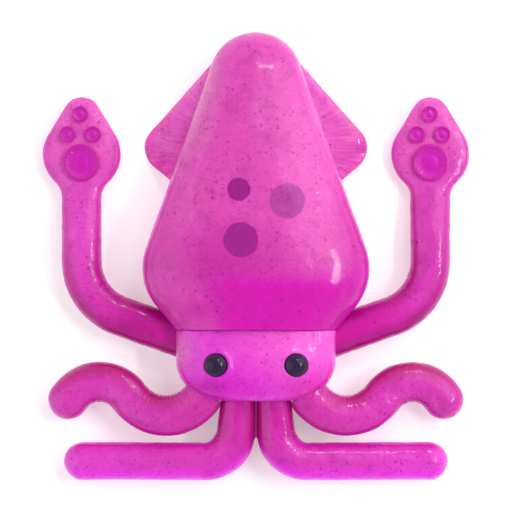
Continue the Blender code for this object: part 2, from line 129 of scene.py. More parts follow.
@dataclass(frozen=True)
class Grain:
    """Smooth seeded noise in space, from -1 to 1."""

    seed: int
    side: int = 24

    def once(self, points: np.ndarray, wavelength: Lump) -> np.ndarray:
        """One octave of noise.

        Args:
            points: Places, with their three coordinates last.
            wavelength: The size of a lump, for all axes or for each.

        Returns:
            The noise at each place.
        """
        lattice = np.random.default_rng(self.seed).uniform(-1.0, 1.0, (self.side,) * 3)
        scaled = points / wavelength
        cell = np.floor(scaled).astype(int)
        part = scaled - cell
        part = part * part * part * (part * (part * 6.0 - 15.0) + 10.0)
        total = np.zeros(points.shape[:-1])
        for corner in np.ndindex(2, 2, 2):
            index = (cell + corner) % self.side
            weight = np.prod(np.where(corner, part, 1.0 - part), axis=-1)
            total += lattice[index[..., 0], index[..., 1], index[..., 2]] * weight
        return total

    def rough(self, points: np.ndarray, wavelength: Lump, octaves: int = 3) -> np.ndarray:
        """Several octaves of noise, each half the size and half the height of the last.

        Args:
            points: Places, with their three coordinates last.
            wavelength: The size of the largest lump, for all axes or for each.
            octaves: How many octaves are added up.

        Returns:
            The noise at each place.
        """
        heights = [0.5**i for i in range(octaves)]
        total = sum(
            height * Grain(self.seed + i).once(points, np.divide(wavelength, 2.0**i))
            for i, height in enumerate(heights)
        )
        return total / sum(heights)


# Outlines and routes


def filleted(corners: list[tuple[float, float]], radii: list[float], step: float) -> np.ndarray:
    """Rounds the inner corners of an open line by arcs.

    Args:
        corners: The line's corners, with its two ends.
        radii: The arcs' radii, one for each inner corner.
        step: The longest distance between the points returned.

    Returns:
        Points along the rounded line, one row each.
    """
    points = [Vector(corners[0])]

    def run_to(end: Vector) -> None:
        """Adds points in a straight line.

        Args:
            end: Where the line ends.
        """
        start = points[-1]
        pieces = math.ceil((end - start).length / step)
        points.extend(start.lerp(end, i / pieces) for i in range(1, pieces + 1))

    for before, corner, after, radius in zip(corners, corners[1:], corners[2:], radii):
        corner = Vector(corner)
        inward = (Vector(before) - corner).normalized()
        outward = (Vector(after) - corner).normalized()
        half_turn = (math.pi - inward.angle(outward)) / 2.0
        start = corner + inward * radius * math.tan(half_turn)
        end = corner + outward * radius * math.tan(half_turn)
        centre = corner + (inward + outward).normalized() * radius / math.cos(half_turn)
        run_to(start)
        spoke = start - centre
        turn = math.copysign(2.0 * half_turn, spoke.cross(end - centre))
        pieces = max(2, math.ceil(abs(turn) * radius / step))
        points.extend(centre + Matrix.Rotation(turn * i / pieces, 2) @ spoke for i in range(1, pieces + 1))
    run_to(Vector(corners[-1]))
    return np.array(points)


@dataclass
class Route:
    """The middle line of a limb on the table: lines and arcs from a start."""

    start: tuple[float, float]
    heading: float
    moves: list[tuple[float, float]]

    @property
    def length(self) -> float:
        """The route's whole length."""
        return sum(length for length, _ in self.moves)

    def stations(self, step: float) -> tuple[np.ndarray, np.ndarray, np.ndarray, np.ndarray]:
        """Evenly spaced stations along the route.

        Args:
            step: The longest distance between two stations.

        Returns:
            Positions, headings in radians, distances from the start, and curvatures.
        """
        position = np.array(self.start)
        heading = math.radians(self.heading)
        places, headings, reached, bends = [position.copy()], [heading], [0.0], [0.0]
        for length, turn in self.moves:
            pieces = math.ceil(length / step)
            bend = math.radians(turn) / pieces
            for _ in range(pieces):
                middle = heading + bend / 2.0
                position = position + np.array((math.cos(middle), math.sin(middle))) * length / pieces
                heading += bend
                places.append(position.copy())
                headings.append(heading)
                reached.append(reached[-1] + length / pieces)
                bends.append(bend * pieces / length)
        return np.array(places), np.array(headings), np.array(reached), np.array(bends)


def arc(radius: float, turn: float) -> tuple[float, float]:
    """A route's move round an arc."""
    return (radius * math.radians(abs(turn)), turn)


# Sections, relief and lofts


@dataclass(frozen=True)
class Section:
    """How a limp body's section sits: its widest point is low, and its underside is pressed flat."""

    count: int = 96
    roundness: float = 2.3
    flatness: float = 1.35
    widest: float = 0.43

    @property
    def angles(self) -> np.ndarray:
        """The angle of each point round the section, from +X over the top."""
        return circle(self.count)

    @property
    def flat_share(self) -> float:
        """The share of the half width within which the underside is flat."""
        return (1.0 - self.flatness**-self.roundness) ** (1.0 / self.roundness)

    def rings(
        self, half_width: np.ndarray, bottom: np.ndarray, top: np.ndarray
    ) -> tuple[np.ndarray, np.ndarray]:
        """Sections of a body, one row each.

        Args:
            half_width: Each section's half width.
            bottom: Each section's lowest height.
            top: Each section's greatest height.

        Returns:
            The points' distances across and their heights.
        """
        power = 2.0 / self.roundness
        cos, sin = np.cos(self.angles), np.sin(self.angles)
        across = np.sign(cos) * np.abs(cos) ** power
        rise = np.sign(sin) * np.abs(sin) ** power
        widest = mix(bottom, top, self.widest)[:, None]
        over = widest + (top[:, None] - widest) * rise
        under = widest + (widest - bottom[:, None]) * np.maximum(-1.0, rise * self.flatness)
        return half_width[:, None] * across, np.where(rise > 0.0, over, under)


def upright(x: np.ndarray, y: np.ndarray, z: np.ndarray) -> Rings:
    """Rings that stand square to Y, one at each Y."""
    return np.stack((x, np.broadcast_to(y[:, None], x.shape), z), axis=-1)


def outward(rings: Rings) -> np.ndarray:
    """The unit normals of a grid of rings.

    Args:
        rings: The rings' points.

    Returns:
        The normal at each point, which points away from its ring's middle.
    """
    along = np.gradient(rings, axis=0)
    around = np.roll(rings, -1, axis=1) - np.roll(rings, 1, axis=1)
    normals = np.cross(around, along)
    normals /= np.maximum(np.linalg.norm(normals, axis=-1, keepdims=True), TINY)
    spokes = rings - rings.mean(axis=1, keepdims=True)
    return normals * np.sign((normals * spokes).sum())


def relief(rings: Rings, height: np.ndarray) -> Rings:
    """Raises a surface along its normals, and keeps it above the table.

    Args:
        rings: The surface's rings.
        height: How far each point is raised.

    Returns:
        The raised rings.
    """
    raised = rings + outward(rings) * height[..., None]
    raised[..., 2] = np.maximum(raised[..., 2], np.minimum(rings[..., 2], 0.0))
    return raised


def next_ring(bm: BMesh, ring: list[bmesh.types.BMVert]) -> list[bmesh.types.BMVert]:
    """Extrudes a closed ring of vertices.

    Args:
        bm: The mesh that holds the ring.
        ring: The ring's vertices in order.

    Returns:
        The new ring's vertices, in the same order.
    """
    edges = [bm.edges.get((a, b)) for a, b in zip(ring, ring[1:] + ring[:1])]
    made = bmesh.ops.extrude_edge_only(bm, edges=edges)["geom"]
    fresh = {item for item in made if isinstance(item, bmesh.types.BMVert)}
    return [next(e.other_vert(v) for e in v.link_edges if e.other_vert(v) in fresh) for v in ring]


def loft(
    rings: Rings,
    values: dict[str, np.ndarray],
    first_pole: np.ndarray | None = None,
    last_pole: np.ndarray | None = None,
) -> BMesh:
    """Extrudes a circle of vertices through every ring, and closes both ends.

    Args:
        rings: The rings' points, one row for each ring.
        values: Numbers that each point carries for the materials, by name.
        first_pole: The point that closes the first ring, or None for a flat cap.
        last_pole: The point that closes the last ring, or None for a flat cap.

    Returns:
        The closed mesh.
    """
    bm = bmesh.new()
    layers = {name: bm.verts.layers.float.new(name) for name in values}
    ring = bmesh.ops.create_circle(bm, segments=rings.shape[1], radius=1.0)["verts"]
    first = ring
    for i, points in enumerate(rings):
        ring = ring if i == 0 else next_ring(bm, ring)
        for j, (vert, point) in enumerate(zip(ring, points)):
            vert.co = point
            for name, layer in layers.items():
                vert[layer] = values[name][i, j]
    for end, pole, row in ((first, first_pole, 0), (ring, last_pole, -1)):
        if pole is None:
            bm.faces.new(end)
            continue
        tip = next_ring(bm, end)
        for name, layer in layers.items():
            tip[0][layer] = float(values[name][row].mean())
        bmesh.ops.pointmerge(bm, verts=tip, merge_co=Vector(pole))
    bmesh.ops.recalc_face_normals(bm, faces=bm.faces)
    return bm


def finish_piece(bm: BMesh, name: str, slot: str, material: Material, *nodes: str) -> None:
    """Makes a finished piece of a mesh: it rides on the body and stands for its solids.

    Args:
        bm: The mesh, which is used up.
        name: The piece's name.
        slot: Not used.
        material: Its material.
        nodes: The solids that it replaces.
    """
    mesh = bpy.data.meshes.new(name)
    bm.to_mesh(mesh)
    bm.free()
    mesh.shade_smooth()
    mesh.materials.append(material)
    piece = bpy.data.objects.new(name, mesh)
    bpy.context.scene.collection.objects.link(piece)
    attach(piece, "root")
    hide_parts(*nodes)
    LOG.info("%s: %d faces", name, len(mesh.polygons))


# Materials


@dataclass
class Nodes:
    """Adds and links the nodes of one material with short calls."""

    material: Material

    def __post_init__(self) -> None:
        """Makes the material one of nodes, and finds its shader."""
        self.material.use_nodes = True
        self.tree = self.material.node_tree
        self.shader = self.tree.nodes["Principled BSDF"]

    def add(self, kind: str, inputs: dict[str | int, Feed] | None = None, **settings: str) -> bpy.types.Node:
        """Adds a node.

        Args:
            kind: The node's type, without the word ShaderNode.
            inputs: Values or sockets for its inputs, by name or place.
            settings: The node's own properties.

        Returns:
            The node.
        """
        node = self.tree.nodes.new("ShaderNode" + kind)
        for name, value in settings.items():
            setattr(node, name, value)
        for key, value in (inputs or {}).items():
            self.feed(node.inputs[key], value)
        return node

    def feed(self, socket: Socket, value: Feed) -> None:
        """Links a socket, or sets its value.

        Args:
            socket: The input.
            value: The output that it is linked to, or its value.
        """
        if isinstance(value, Socket):
            self.tree.links.new(value, socket)
        else:
            socket.default_value = value

    def even(self, values: dict[str, float | Colour]) -> None:
        """Sets the shader's inputs that are the same all over the surface."""
        for name, value in values.items():
            self.shader.inputs[name].default_value = value

    def math(self, operation: str, *values: Feed) -> Socket:
        """A Math node's result."""
        return self.add("Math", dict(enumerate(values)), operation=operation).outputs[0]

    def attribute(self, name: str) -> Socket:
        """A number that the mesh carries."""
        return self.add("Attribute", attribute_name=name).outputs["Fac"]

    def smooth(self, value: Feed, low: float, high: float) -> Socket:
        """A smooth step of a value, from 0 at low to 1 at high."""
        inputs = {"Value": value, "From Min": low, "From Max": high}
        return self.add("MapRange", inputs, interpolation_type="SMOOTHSTEP").outputs["Result"]

    def blend(self, share: Feed, first: Feed, last: Feed, mode: str = "MIX") -> Socket:
        """A blend of two colours.

        Args:
            share: How much of the last colour comes in.
            first: The first colour.
            last: The last colour.
            mode: How the two are blended.

        Returns:
            The blended colour.
        """
        node = self.add("Mix", data_type="RGBA", blend_type=mode)
        for key, value in ((0, share), (6, first), (7, last)):
            rgba = (*value, 1.0) if isinstance(value, tuple) and len(value) == 3 else value
            self.feed(node.inputs[key], rgba)
        return node.outputs[2]

    def millimetres(self) -> Socket:
        """Object coordinates in millimetres."""
        coordinates = self.add("TexCoord").outputs["Object"]
        return self.add("VectorMath", {0: coordinates, "Scale": 1.0 / MM}, operation="SCALE").outputs[0]

    def noise(self, vector: Socket, scale: float, detail: float = 2.0, roughness: float = 0.5) -> Socket:
        """A noise texture's value."""
        inputs = {"Vector": vector, "Scale": scale, "Detail": detail, "Roughness": roughness}
        return self.add("TexNoise", inputs).outputs[0]

    def raised(self, height: Socket, distance: float, **over: Socket) -> Socket:
        """A Bump node's normal, over another Normal if one is given."""
        inputs = {"Height": height, "Strength": 1.0, "Distance": distance, **over}
        return self.add("Bump", inputs).outputs[0]


class PatchForm(Enum):
    """The outline of a patch of colour."""

    ROUND = "round"
    BOX = "box"


@dataclass(frozen=True)
class Patch:
    """A patch of colour seen from above, in millimetres, whose edge fades over a share of its radii; patches
    serve for pigment spots and for painted light and shade.
    """

    colour: Colour
    centre: tuple[float, float]
    radii: tuple[float, float]
    turn: float = 0.0
    fade: tuple[float, float] = (1.0, 1.0)
    strength: float = 1.0
    form: PatchForm = PatchForm.ROUND
    ragged: float = 0.0

    def lay(self, nodes: Nodes, base: Feed, places: Socket, wobble: Socket) -> Socket:
        """Lays the patch over a colour.

        Args:
            nodes: The material's nodes.
            base: The colour under the patch.
            places: Object coordinates in millimetres.
            wobble: Noise round 0.5 that makes the edge ragged.

        Returns:
            The colour with the patch.
        """
        inputs = {
            "Vector": places,
            "Location": (*self.centre, 0.0),
            "Rotation": (0.0, 0.0, math.radians(self.turn)),
            "Scale": (*self.radii, 1.0e5),
        }
        local = nodes.add("Mapping", inputs, vector_type="TEXTURE").outputs[0]
        if self.form is PatchForm.BOX:
            sides = nodes.add("VectorMath", {0: local}, operation="ABSOLUTE").outputs[0]
            parts = nodes.add("SeparateXYZ", {0: sides}).outputs
            shares = [nodes.smooth(parts[i], 1.0, 1.0 - self.fade[i]) for i in (0, 1)]
            share = nodes.math("MULTIPLY", *shares)
        else:
            away = nodes.add("VectorMath", {0: local}, operation="LENGTH").outputs["Value"]
            ripple = nodes.math("MULTIPLY", nodes.math("SUBTRACT", wobble, 0.5), self.ragged)
            share = nodes.smooth(nodes.math("ADD", away, ripple), 1.0, 1.0 - self.fade[0])
        return nodes.blend(nodes.math("MULTIPLY", share, self.strength), base, self.colour)


@dataclass(frozen=True)
class Tint:
    """A colour that comes in by smooth steps of the mesh's own numbers: (name, none at, all at)."""

    colour: Colour
    steps: tuple[tuple[str, float, float], ...]
    strength: float = 1.0

    def lay(self, nodes: Nodes, base: Feed) -> Socket:
        """Lays the tint over a colour.

        Args:
            nodes: The material's nodes.
            base: The colour under the tint.

        Returns:
            The colour with the tint.
        """
        share = self.strength
        for number, none_at, all_at in self.steps:
            share = nodes.math("MULTIPLY", share, nodes.smooth(nodes.attribute(number), none_at, all_at))
        return nodes.blend(share, base, self.colour)


@dataclass(frozen=True)
class Speckle:
    """One size of pigment cells in the skin, as round dots."""

    spacing: float
    reach: float
    colour: Colour
    strength: float
    patchiness: float = 0.5
    seed: float = 0.0

    def lay(self, nodes: Nodes, base: Feed, places: Socket, cover: Socket) -> Socket:
        """Lays the dots over a colour.

        Args:
            nodes: The material's nodes.
            base: The colour under the dots.
            places: Object coordinates in millimetres.
            cover: Where the skin carries pigment, from 0 to 1.

        Returns:
            The colour with the dots.
        """
        shifted = nodes.add("VectorMath", {0: places, 1: (self.seed, self.seed, self.seed)}).outputs[0]
        cells = nodes.add("TexVoronoi", {"Vector": shifted, "Scale": 1.0 / self.spacing, "Randomness": 1.0})
        luck = nodes.add("SeparateColor", {0: cells.outputs["Color"]}).outputs
        radius = nodes.math("MULTIPLY_ADD", luck[0], self.reach * 0.75, self.reach * 0.25)
        inside = nodes.math("SUBTRACT", radius, cells.outputs["Distance"])
        dot = nodes.smooth(inside, 0.0, self.reach * 0.35)
        spread = 0.3 * self.patchiness
        clouds = nodes.smooth(nodes.noise(shifted, 0.06, 3.0, 0.6), 0.5 - spread, 0.5 + spread)
        depth = nodes.math("MULTIPLY_ADD", luck[1], 0.5 * self.strength, 0.5 * self.strength)
        dots = nodes.math("MULTIPLY", dot, clouds)
        amount = nodes.math("MULTIPLY", dots, nodes.math("MULTIPLY", cover, depth))
        return nodes.blend(amount, base, self.colour)


@dataclass(frozen=True)
class Cloud:
    """Soft mottling: lumps of noise, between two of its values, that multiply the skin's colour."""

    scale: float
    factor: Colour
    none_at: float
    all_at: float

    def lay(self, nodes: Nodes, base: Feed, places: Socket, strength: float) -> Socket:
        """Lays the mottling over a colour.

        Args:
            nodes: The material's nodes.
            base: The colour under the mottling.
            places: Object coordinates in millimetres.
            strength: How strong it is, from 0 to 1.

        Returns:
            The mottled colour.
        """
        lumps = nodes.smooth(nodes.noise(places, self.scale, 4.0, 0.62), self.none_at, self.all_at)
        changed = nodes.blend(1.0, base, self.factor, "MULTIPLY")
        return nodes.blend(nodes.math("MULTIPLY", lumps, strength), base, changed)


DEEPER = (0.70, 0.48, 0.66)
PALER = (1.12, 1.55, 1.18)
CLOUDS = (
    Cloud(0.07, DEEPER, 0.50, 0.74),
    Cloud(0.24, DEEPER, 0.50, 0.74),
    Cloud(0.11, PALER, 0.48, 0.28),
)
FLESH_RADIUS = (1.0, 0.35, 0.6)


@dataclass(frozen=True)
class Flesh:
    """Wet raw skin over flesh: a base pigment, patches and tints that are mostly painted light and shade,
    pigment cells and a watery film.
    """

    name: str
    back: Colour
    belly: Colour
    # Most patches and tints are painted light and shade; the mantle's three round patches are pigment spots.
    patches: tuple[Patch, ...] = ()
    tints: tuple[Tint, ...] = ()
    # Darker patches of painted shade, laid after the tints.
    painted_shades: tuple[Patch, ...] = ()
    clouds: tuple[Cloud, ...] = CLOUDS
    speckles: tuple[Speckle, ...] = ()
    under: tuple[float, float] = (-0.1, -0.7)
    bare_under: float = 0.8
    mottle: float = 0.5
    roughness: float = 0.42
    film: float = 1.0
    film_roughness: float = 0.06
    depth: float = 2.2 * MM
    softness: float = 0.25
    gleam: float = 0.25
    ripple: float = 0.10 * MM
    grain: float = 0.035 * MM
    fibre_spacing: float = 1.1
    fibre: float = 0.0

    def make(self) -> Material:
        """Builds the material.

        Returns:
            A material that reads Object coordinates and the mesh's own numbers.
        """
        nodes = Nodes(bpy.data.materials.new(self.name))
        places = nodes.millimetres()
        fibres = self.fibres(nodes) if self.fibre else None
        colour = self.pigment(nodes, places)
        if fibres:
            pale = nodes.math("MULTIPLY", nodes.smooth(fibres, 0.45, 0.75), 0.4 * self.fibre)
            colour = nodes.blend(pale, colour, self.belly)
        nodes.feed(nodes.shader.inputs["Base Color"], colour)
        self.surface(nodes, places, fibres)
        return nodes.material

    def pigment(self, nodes: Nodes, places: Socket) -> Socket:
        """The skin's colour: paler towards the underside, with patches and tints, mostly painted light and
        shade, then mottling and pigment cells.

        Args:
            nodes: The material's nodes.
            places: Object coordinates in millimetres.

        Returns:
            The colour.
        """
        under = nodes.smooth(nodes.attribute("back"), *self.under)
        colour = self.back
        wobble = nodes.noise(places, 0.35, 3.0)
        for patch in self.patches:
            colour = patch.lay(nodes, colour, places, wobble)
        for tint in self.tints:
            colour = tint.lay(nodes, colour)
        # Painted shade patches go on after the tints.
        for shade in self.painted_shades:
            colour = shade.lay(nodes, colour, places, wobble)
        for cloud in self.clouds:
            colour = cloud.lay(nodes, colour, places, self.mottle)
        cover = nodes.math("SUBTRACT", 1.0, nodes.math("MULTIPLY", under, self.bare_under))
        colour = nodes.blend(under, colour, self.belly)
        for speckle in self.speckles:
            colour = speckle.lay(nodes, colour, places, cover)
        return colour

    def surface(self, nodes: Nodes, places: Socket, fibres: Socket | None) -> None:
        """Sets the skin's gloss, softness and fine relief.

        Args:
            nodes: The material's nodes.
            places: Object coordinates in millimetres.
            fibres: The height of the muscle fibres, or None for skin without them.
        """
        nodes.even(
            {
                "IOR": 1.38,
                "Specular IOR Level": self.gleam,
                "Subsurface Weight": self.softness,
                "Subsurface Radius": FLESH_RADIUS,
                "Subsurface Scale": self.depth,
                "Coat Roughness": self.film_roughness,
                "Coat IOR": 1.37,
            }
        )
        shader = nodes.shader.inputs
        smears = nodes.noise(places, 0.16, 4.0, 0.62)
        nodes.feed(shader["Roughness"], nodes.math("MULTIPLY_ADD", smears, 0.5, self.roughness - 0.25))
        wet = nodes.smooth(smears, 0.70, 0.40)
        nodes.feed(shader["Coat Weight"], nodes.math("MULTIPLY_ADD", wet, 0.4, self.film - 0.4))
        cells = {"Vector": places, "Scale": 0.95, "Smoothness": 1.0}
        pebbles = nodes.add("TexVoronoi", cells, feature="SMOOTH_F1").outputs["Distance"]
        fine = nodes.noise(places, 1.5, 3.0, 0.6)
        height = nodes.math("MULTIPLY_ADD", pebbles, 0.9, fine)
        if fibres:
            height = nodes.math("MULTIPLY_ADD", fibres, 2.0 * self.fibre, height)
        skin = nodes.raised(height, self.grain)
        waves = nodes.noise(places, 0.30, 2.0, 0.45)
        nodes.feed(shader["Normal"], nodes.raised(waves, 2.5 * self.ripple, Normal=skin))
        beads = nodes.raised(fine, 0.5 * self.grain)
        film = nodes.noise(places, 0.36, 3.0, 0.45)
        nodes.feed(shader["Coat Normal"], nodes.raised(film, 2.0 * self.ripple, Normal=beads))

    def fibres(self, nodes: Nodes) -> Socket:
        """Muscle fibres that run across the piece from its root.

        Args:
            nodes: The material's nodes.

        Returns:
            The fibres' height.
        """
        across = nodes.math("MULTIPLY", nodes.attribute("across_mm"), 0.07)
        along = nodes.math("DIVIDE", nodes.attribute("fan_mm"), self.fibre_spacing)
        vector = nodes.add("CombineXYZ", {0: across, 1: along}).outputs[0]
        return nodes.noise(vector, 1.0, 2.0, 0.45)


@dataclass(frozen=True)
class Gloss:
    """A smooth wet finish whose colours follow a number on the mesh."""

    name: str
    number: str
    stops: tuple[tuple[float, Colour], ...]
    roughness: float
    film: float
    film_ior: float = 1.37
    gleam: float = 0.25
    softness: float = 0.0
    ridges: float = 0.0

    def make(self) -> Material:
        """Builds the material.

        Returns:
            A material that reads the mesh's own number.
        """
        nodes = Nodes(bpy.data.materials.new(self.name))
        places = nodes.millimetres()
        mottle = nodes.noise(places, 0.9, 4.0, 0.6)
        shift = nodes.math("MULTIPLY", nodes.math("SUBTRACT", mottle, 0.5), 0.10)
        value = nodes.math("ADD", nodes.attribute(self.number), shift)
        ramp = nodes.add("ValToRGB", {"Fac": value})
        elements = ramp.color_ramp.elements
        for i, (stop, colour) in enumerate(self.stops):
            element = elements[i] if i < 2 else elements.new(stop)
            element.position = stop
            element.color = (*colour, 1.0)
        nodes.even(
            {
                "Specular IOR Level": self.gleam,
                "Coat Weight": self.film,
                "Coat Roughness": 0.04,
                "Coat IOR": self.film_ior,
                "Subsurface Weight": self.softness,
                "Subsurface Radius": FLESH_RADIUS,
                "Subsurface Scale": 1.5 * MM,
            }
        )
        shader = nodes.shader.inputs
        nodes.feed(shader["Base Color"], ramp.outputs[0])
        nodes.feed(shader["Roughness"], nodes.math("MULTIPLY_ADD", mottle, 0.1, self.roughness - 0.05))
        if self.ridges:
            nodes.feed(shader["Normal"], nodes.raised(nodes.noise(places, 2.5, 3.0), self.ridges))
        return nodes.material


PURPLE = srgb(112, 18, 88)
WINE = srgb(150, 22, 104)
SPECKLES = (
    Speckle(spacing=2.9, reach=0.40, colour=PURPLE, strength=0.62),
    Speckle(spacing=1.7, reach=0.44, colour=WINE, strength=0.58, patchiness=0.7, seed=31.0),
    Speckle(spacing=1.1, reach=0.46, colour=PURPLE, strength=0.42, patchiness=0.9, seed=57.0),
)


@dataclass(frozen=True)
class Finishes:
    """Every finish of the squid."""

    mantle: Flesh = Flesh(
        name="mantle_skin",
        back=pigment(222, 84, 183),
        belly=pigment(240, 180, 214),
        speckles=SPECKLES,
        patches=(
            # Painted shade: darker over the lower back, left of the middle.
            Patch(pigment(206, 62, 169), (-18.0, -4.0), (58.0, 32.0), fade=(0.9, 0.9)),
            # Painted highlight: lighter down the right flank.
            Patch(pigment(236, 97, 194), (30.0, 48.0), (30.0, 80.0), turn=7.0, fade=(0.9, 0.9)),
            # Painted highlight: a grey-pink sheen along the upper left flank.
            Patch(pigment(222, 116, 184), (-33.0, 78.0), (16.0, 52.0), turn=-19.7),
            # Painted highlight: lighter along the top of the back.
            Patch(pigment(226, 102, 187), (5.0, 78.0), (13.0, 36.0), strength=0.8),
            # Painted shade: darker along the lower right edge.
            Patch(pigment(210, 54, 170), (55.0, 8.0), (25.0, 50.0), turn=17.0, strength=0.68),
            # Painted shade: darker on the right near the collar.
            Patch(pigment(212, 22, 177), (48.0, -11.0), (22.0, 16.0), strength=0.65),
            # Painted shade: darker on the left near the collar.
            Patch(pigment(206, 42, 166), (-34.0, -33.0), (16.0, 17.0), strength=0.65),
            # Painted highlight: a light streak low on the left flank.
            Patch(pigment(220, 70, 183), (-44.0, -20.0), (10.0, 26.0), turn=32.0),
            # Painted shade: darker at the lower left edge.
            Patch(pigment(184, 36, 144), (-59.0, -33.0), (18.0, 22.0)),
            Patch(pigment(219, 18, 184), (50.0, -46.0), (93.0, 43.0), fade=(0.355, 0.35), form=PatchForm.BOX),
            Patch(pigment(163, 47, 143), (-9.1, 35.4), (6.6, 6.6), fade=(0.13, 0.13), ragged=0.22),
            Patch(pigment(187, 74, 163), (16.6, 29.3), (9.9, 9.9), fade=(0.10, 0.10), ragged=0.16),
            Patch(pigment(166, 50, 147), (-8.0, 8.6), (9.9, 9.9), fade=(0.10, 0.10), ragged=0.16),
        ),
        # Painted shade: darker towards the flanks.
        tints=(Tint(pigment(210, 52, 170), (("middle", 0.32, 0.04),), strength=0.5),),
    )
    fin: Flesh = Flesh(
        name="fin_skin",
        back=pigment(230, 88, 198),
        belly=pigment(246, 190, 224),
        speckles=SPECKLES,
        depth=3.5 * MM,
        softness=0.4,
        fibre=0.35,
        ripple=0.06 * MM,
        patches=(
            # Painted shade: darker over the right fin.
            Patch(pigment(212, 76, 176), (52.0, 78.0), (40.0, 56.0)),
            # Painted shade: a darker band along the left fin's root.
            Patch(pigment(219, 62, 179), (-38.0, 60.0), (9.0, 44.0), turn=-19.7),
            # Painted shade: darker on the left fin's lower part.
            Patch(pigment(220, 68, 178), (-56.0, 44.0), (26.0, 22.0)),
            # Painted shade: darker on the right fin's lower part.
            Patch(pigment(215, 72, 176), (56.0, 40.0), (26.0, 23.0)),
        ),
        # Painted highlight: paler towards the outer edge of the fins' upper part.
        tints=(Tint(pigment(244, 116, 200), (("middle", 0.35, 0.0), ("along_mm", 56.0, 84.0))),),
    )
    head: Flesh = Flesh(
        name="head_skin",
        back=pigment(233, 70, 213),
        belly=pigment(242, 180, 218),
        speckles=SPECKLES,
        patches=(
            # Painted highlight: lighter over the upper right of the head.
            Patch(pigment(255, 105, 221), (32.0, -38.0), (61.0, 44.0), fade=(0.8, 0.8)),
            # Painted shade: deeper violet over the lower left.
            Patch(pigment(225, 14, 208), (-24.0, -79.0), (48.0, 31.0)),
            # Painted highlight: a grey-pink sheen on the left side.
            Patch(pigment(220, 106, 190), (-44.0, -51.0), (16.0, 18.0), fade=(0.9, 0.9)),
            # Painted shade: darker at the lower left corner.
            Patch(pigment(206, 24, 184), (-29.0, -74.0), (15.0, 14.0)),
            # Painted shade: deeper pink over the lower right.
            Patch(pigment(228, 22, 184), (36.0, -77.0), (31.0, 26.0)),
            # Painted light: brighter along the rounded front lip, against its shade.
            Patch(pigment(255, 84, 246), (4.0, -85.0), (34.0, 15.0)),
            # Painted shade: tones down the right flank.
            Patch(pigment(238, 78, 204), (44.0, -54.0), (11.0, 19.0), strength=0.7),
        ),
    )
    funnel: Flesh = Flesh(
        name="funnel_skin",
        back=pigment(236, 130, 200),
        belly=pigment(246, 200, 226),
        speckles=SPECKLES[1:2],
    )
    tentacle: Flesh = Flesh(
        name="tentacle_skin",
        back=pigment(228, 82, 198),
        belly=pigment(238, 170, 212),
        speckles=SPECKLES,
        painted_shades=(
            # Painted shade: darker on the right stalk.
            Patch(pigment(196, 56, 160), (95.0, 12.0), (18.0, 52.0), strength=0.5),
            # Painted shade: darker over the right club's outer half.
            Patch(pigment(216, 70, 178), (108.0, 58.0), (15.0, 36.0), strength=0.7),
            # Painted shade: darker low on the left stalk before its bend.
            Patch(pigment(176, 12, 130), (-68.0, -38.0), (22.0, 14.0), strength=0.5),
        ),
        tints=(
            # Painted shade: darker flanks along the stalk.
            Tint(pigment(208, 60, 166), (("middle", 0.70, 0.0), ("along_mm", 124.0, 106.0))),
            # Painted shade: deeper towards the root by the head.
            Tint(pigment(213, 14, 168), (("along_mm", 92.0, 14.0),)),
            # Painted shade: darker flanks over the root and round the bend.
            Tint(pigment(190, 14, 146), (("middle", 0.90, 0.25), ("along_mm", 102.0, 56.0))),
            Tint(pigment(234, 100, 199), (("along_mm", 108.0, 142.0),)),
            # Painted shade: darker flanks on the club.
            Tint(pigment(222, 74, 188), (("middle", 0.40, 0.05), ("along_mm", 104.0, 120.0))),
        ),
    )
    wavy_arm: Flesh = Flesh(
        name="wavy_arm_skin",
        back=pigment(221, 70, 186),
        belly=pigment(238, 170, 212),
        speckles=SPECKLES,
        tints=(
            # Painted shade: darker flanks.
            Tint(pigment(206, 40, 168), (("middle", 0.55, 0.0),)),
            # Painted shade: darker along the edge that faces +Y.
            Tint(pigment(186, 48, 124), (("north", -0.05, 0.85), ("along_mm", 100.0, 76.0))),
            # Painted shade: darker towards the root.
            Tint(pigment(214, 62, 170), (("along_mm", 40.0, 5.0),), strength=0.7),
        ),
    )
    bent_arm: Flesh = Flesh(
        name="bent_arm_skin",
        back=pigment(221, 72, 190),
        belly=pigment(238, 158, 218),
        speckles=SPECKLES,
        tints=(
            Tint(pigment(232, 77, 206), (("along_mm", 70.0, 115.0),)),
            # Painted shade: darker towards the root.
            Tint(pigment(210, 46, 166), (("along_mm", 56.0, 8.0),)),
            # Painted shade: darker flanks from the root into the bend.
            Tint(pigment(192, 20, 140), (("middle", 0.85, 0.10), ("along_mm", 60.0, 34.0))),
            # Painted shade: darker along the edge that faces +Y.
            Tint(pigment(221, 50, 184), (("north", 0.15, 0.90),)),
            # Painted highlight: a bright magenta glow on the upper part of the flank that faces -Y.
            Tint(pigment(252, 60, 246), (("north", -0.05, -0.85), ("back", -0.35, 0.05))),
        ),
    )
    club_sucker: Gloss = Gloss(
        name="club_sucker_flesh",
        number="cup",
        stops=(
            (0.0, pigment(224, 84, 188)),
            (0.30, pigment(206, 44, 168)),
            (0.60, pigment(202, 28, 166)),
            (0.88, pigment(210, 26, 186)),
        ),
        roughness=0.40,
        film=0.7,
        softness=0.2,
        ridges=0.10 * MM,
    )
    arm_sucker: Gloss = Gloss(
        name="arm_sucker_flesh",
        number="cup",
        stops=(
            (0.0, srgb(226, 130, 190)),
            (0.5, srgb(240, 180, 214)),
            (0.62, srgb(214, 150, 150)),
            (1.0, srgb(176, 60, 130)),
        ),
        roughness=0.36,
        film=0.5,
        softness=0.3,
    )
    eye: Gloss = Gloss(
        name="eye_lens",
        number="from_axis",
        stops=(
            (0.0, srgb(50, 34, 64)),
            (0.50, srgb(48, 30, 64)),
            (0.66, srgb(56, 34, 76)),
            (0.80, srgb(48, 26, 66)),
            # Painted shade: the darkest colour, at the globe's rim and over its lower half.
            (1.0, srgb(34, 16, 46)),
        ),
        roughness=0.22,
        film=1.0,
        film_ior=1.34,
        gleam=0.0,
    )


# Mantle and fins


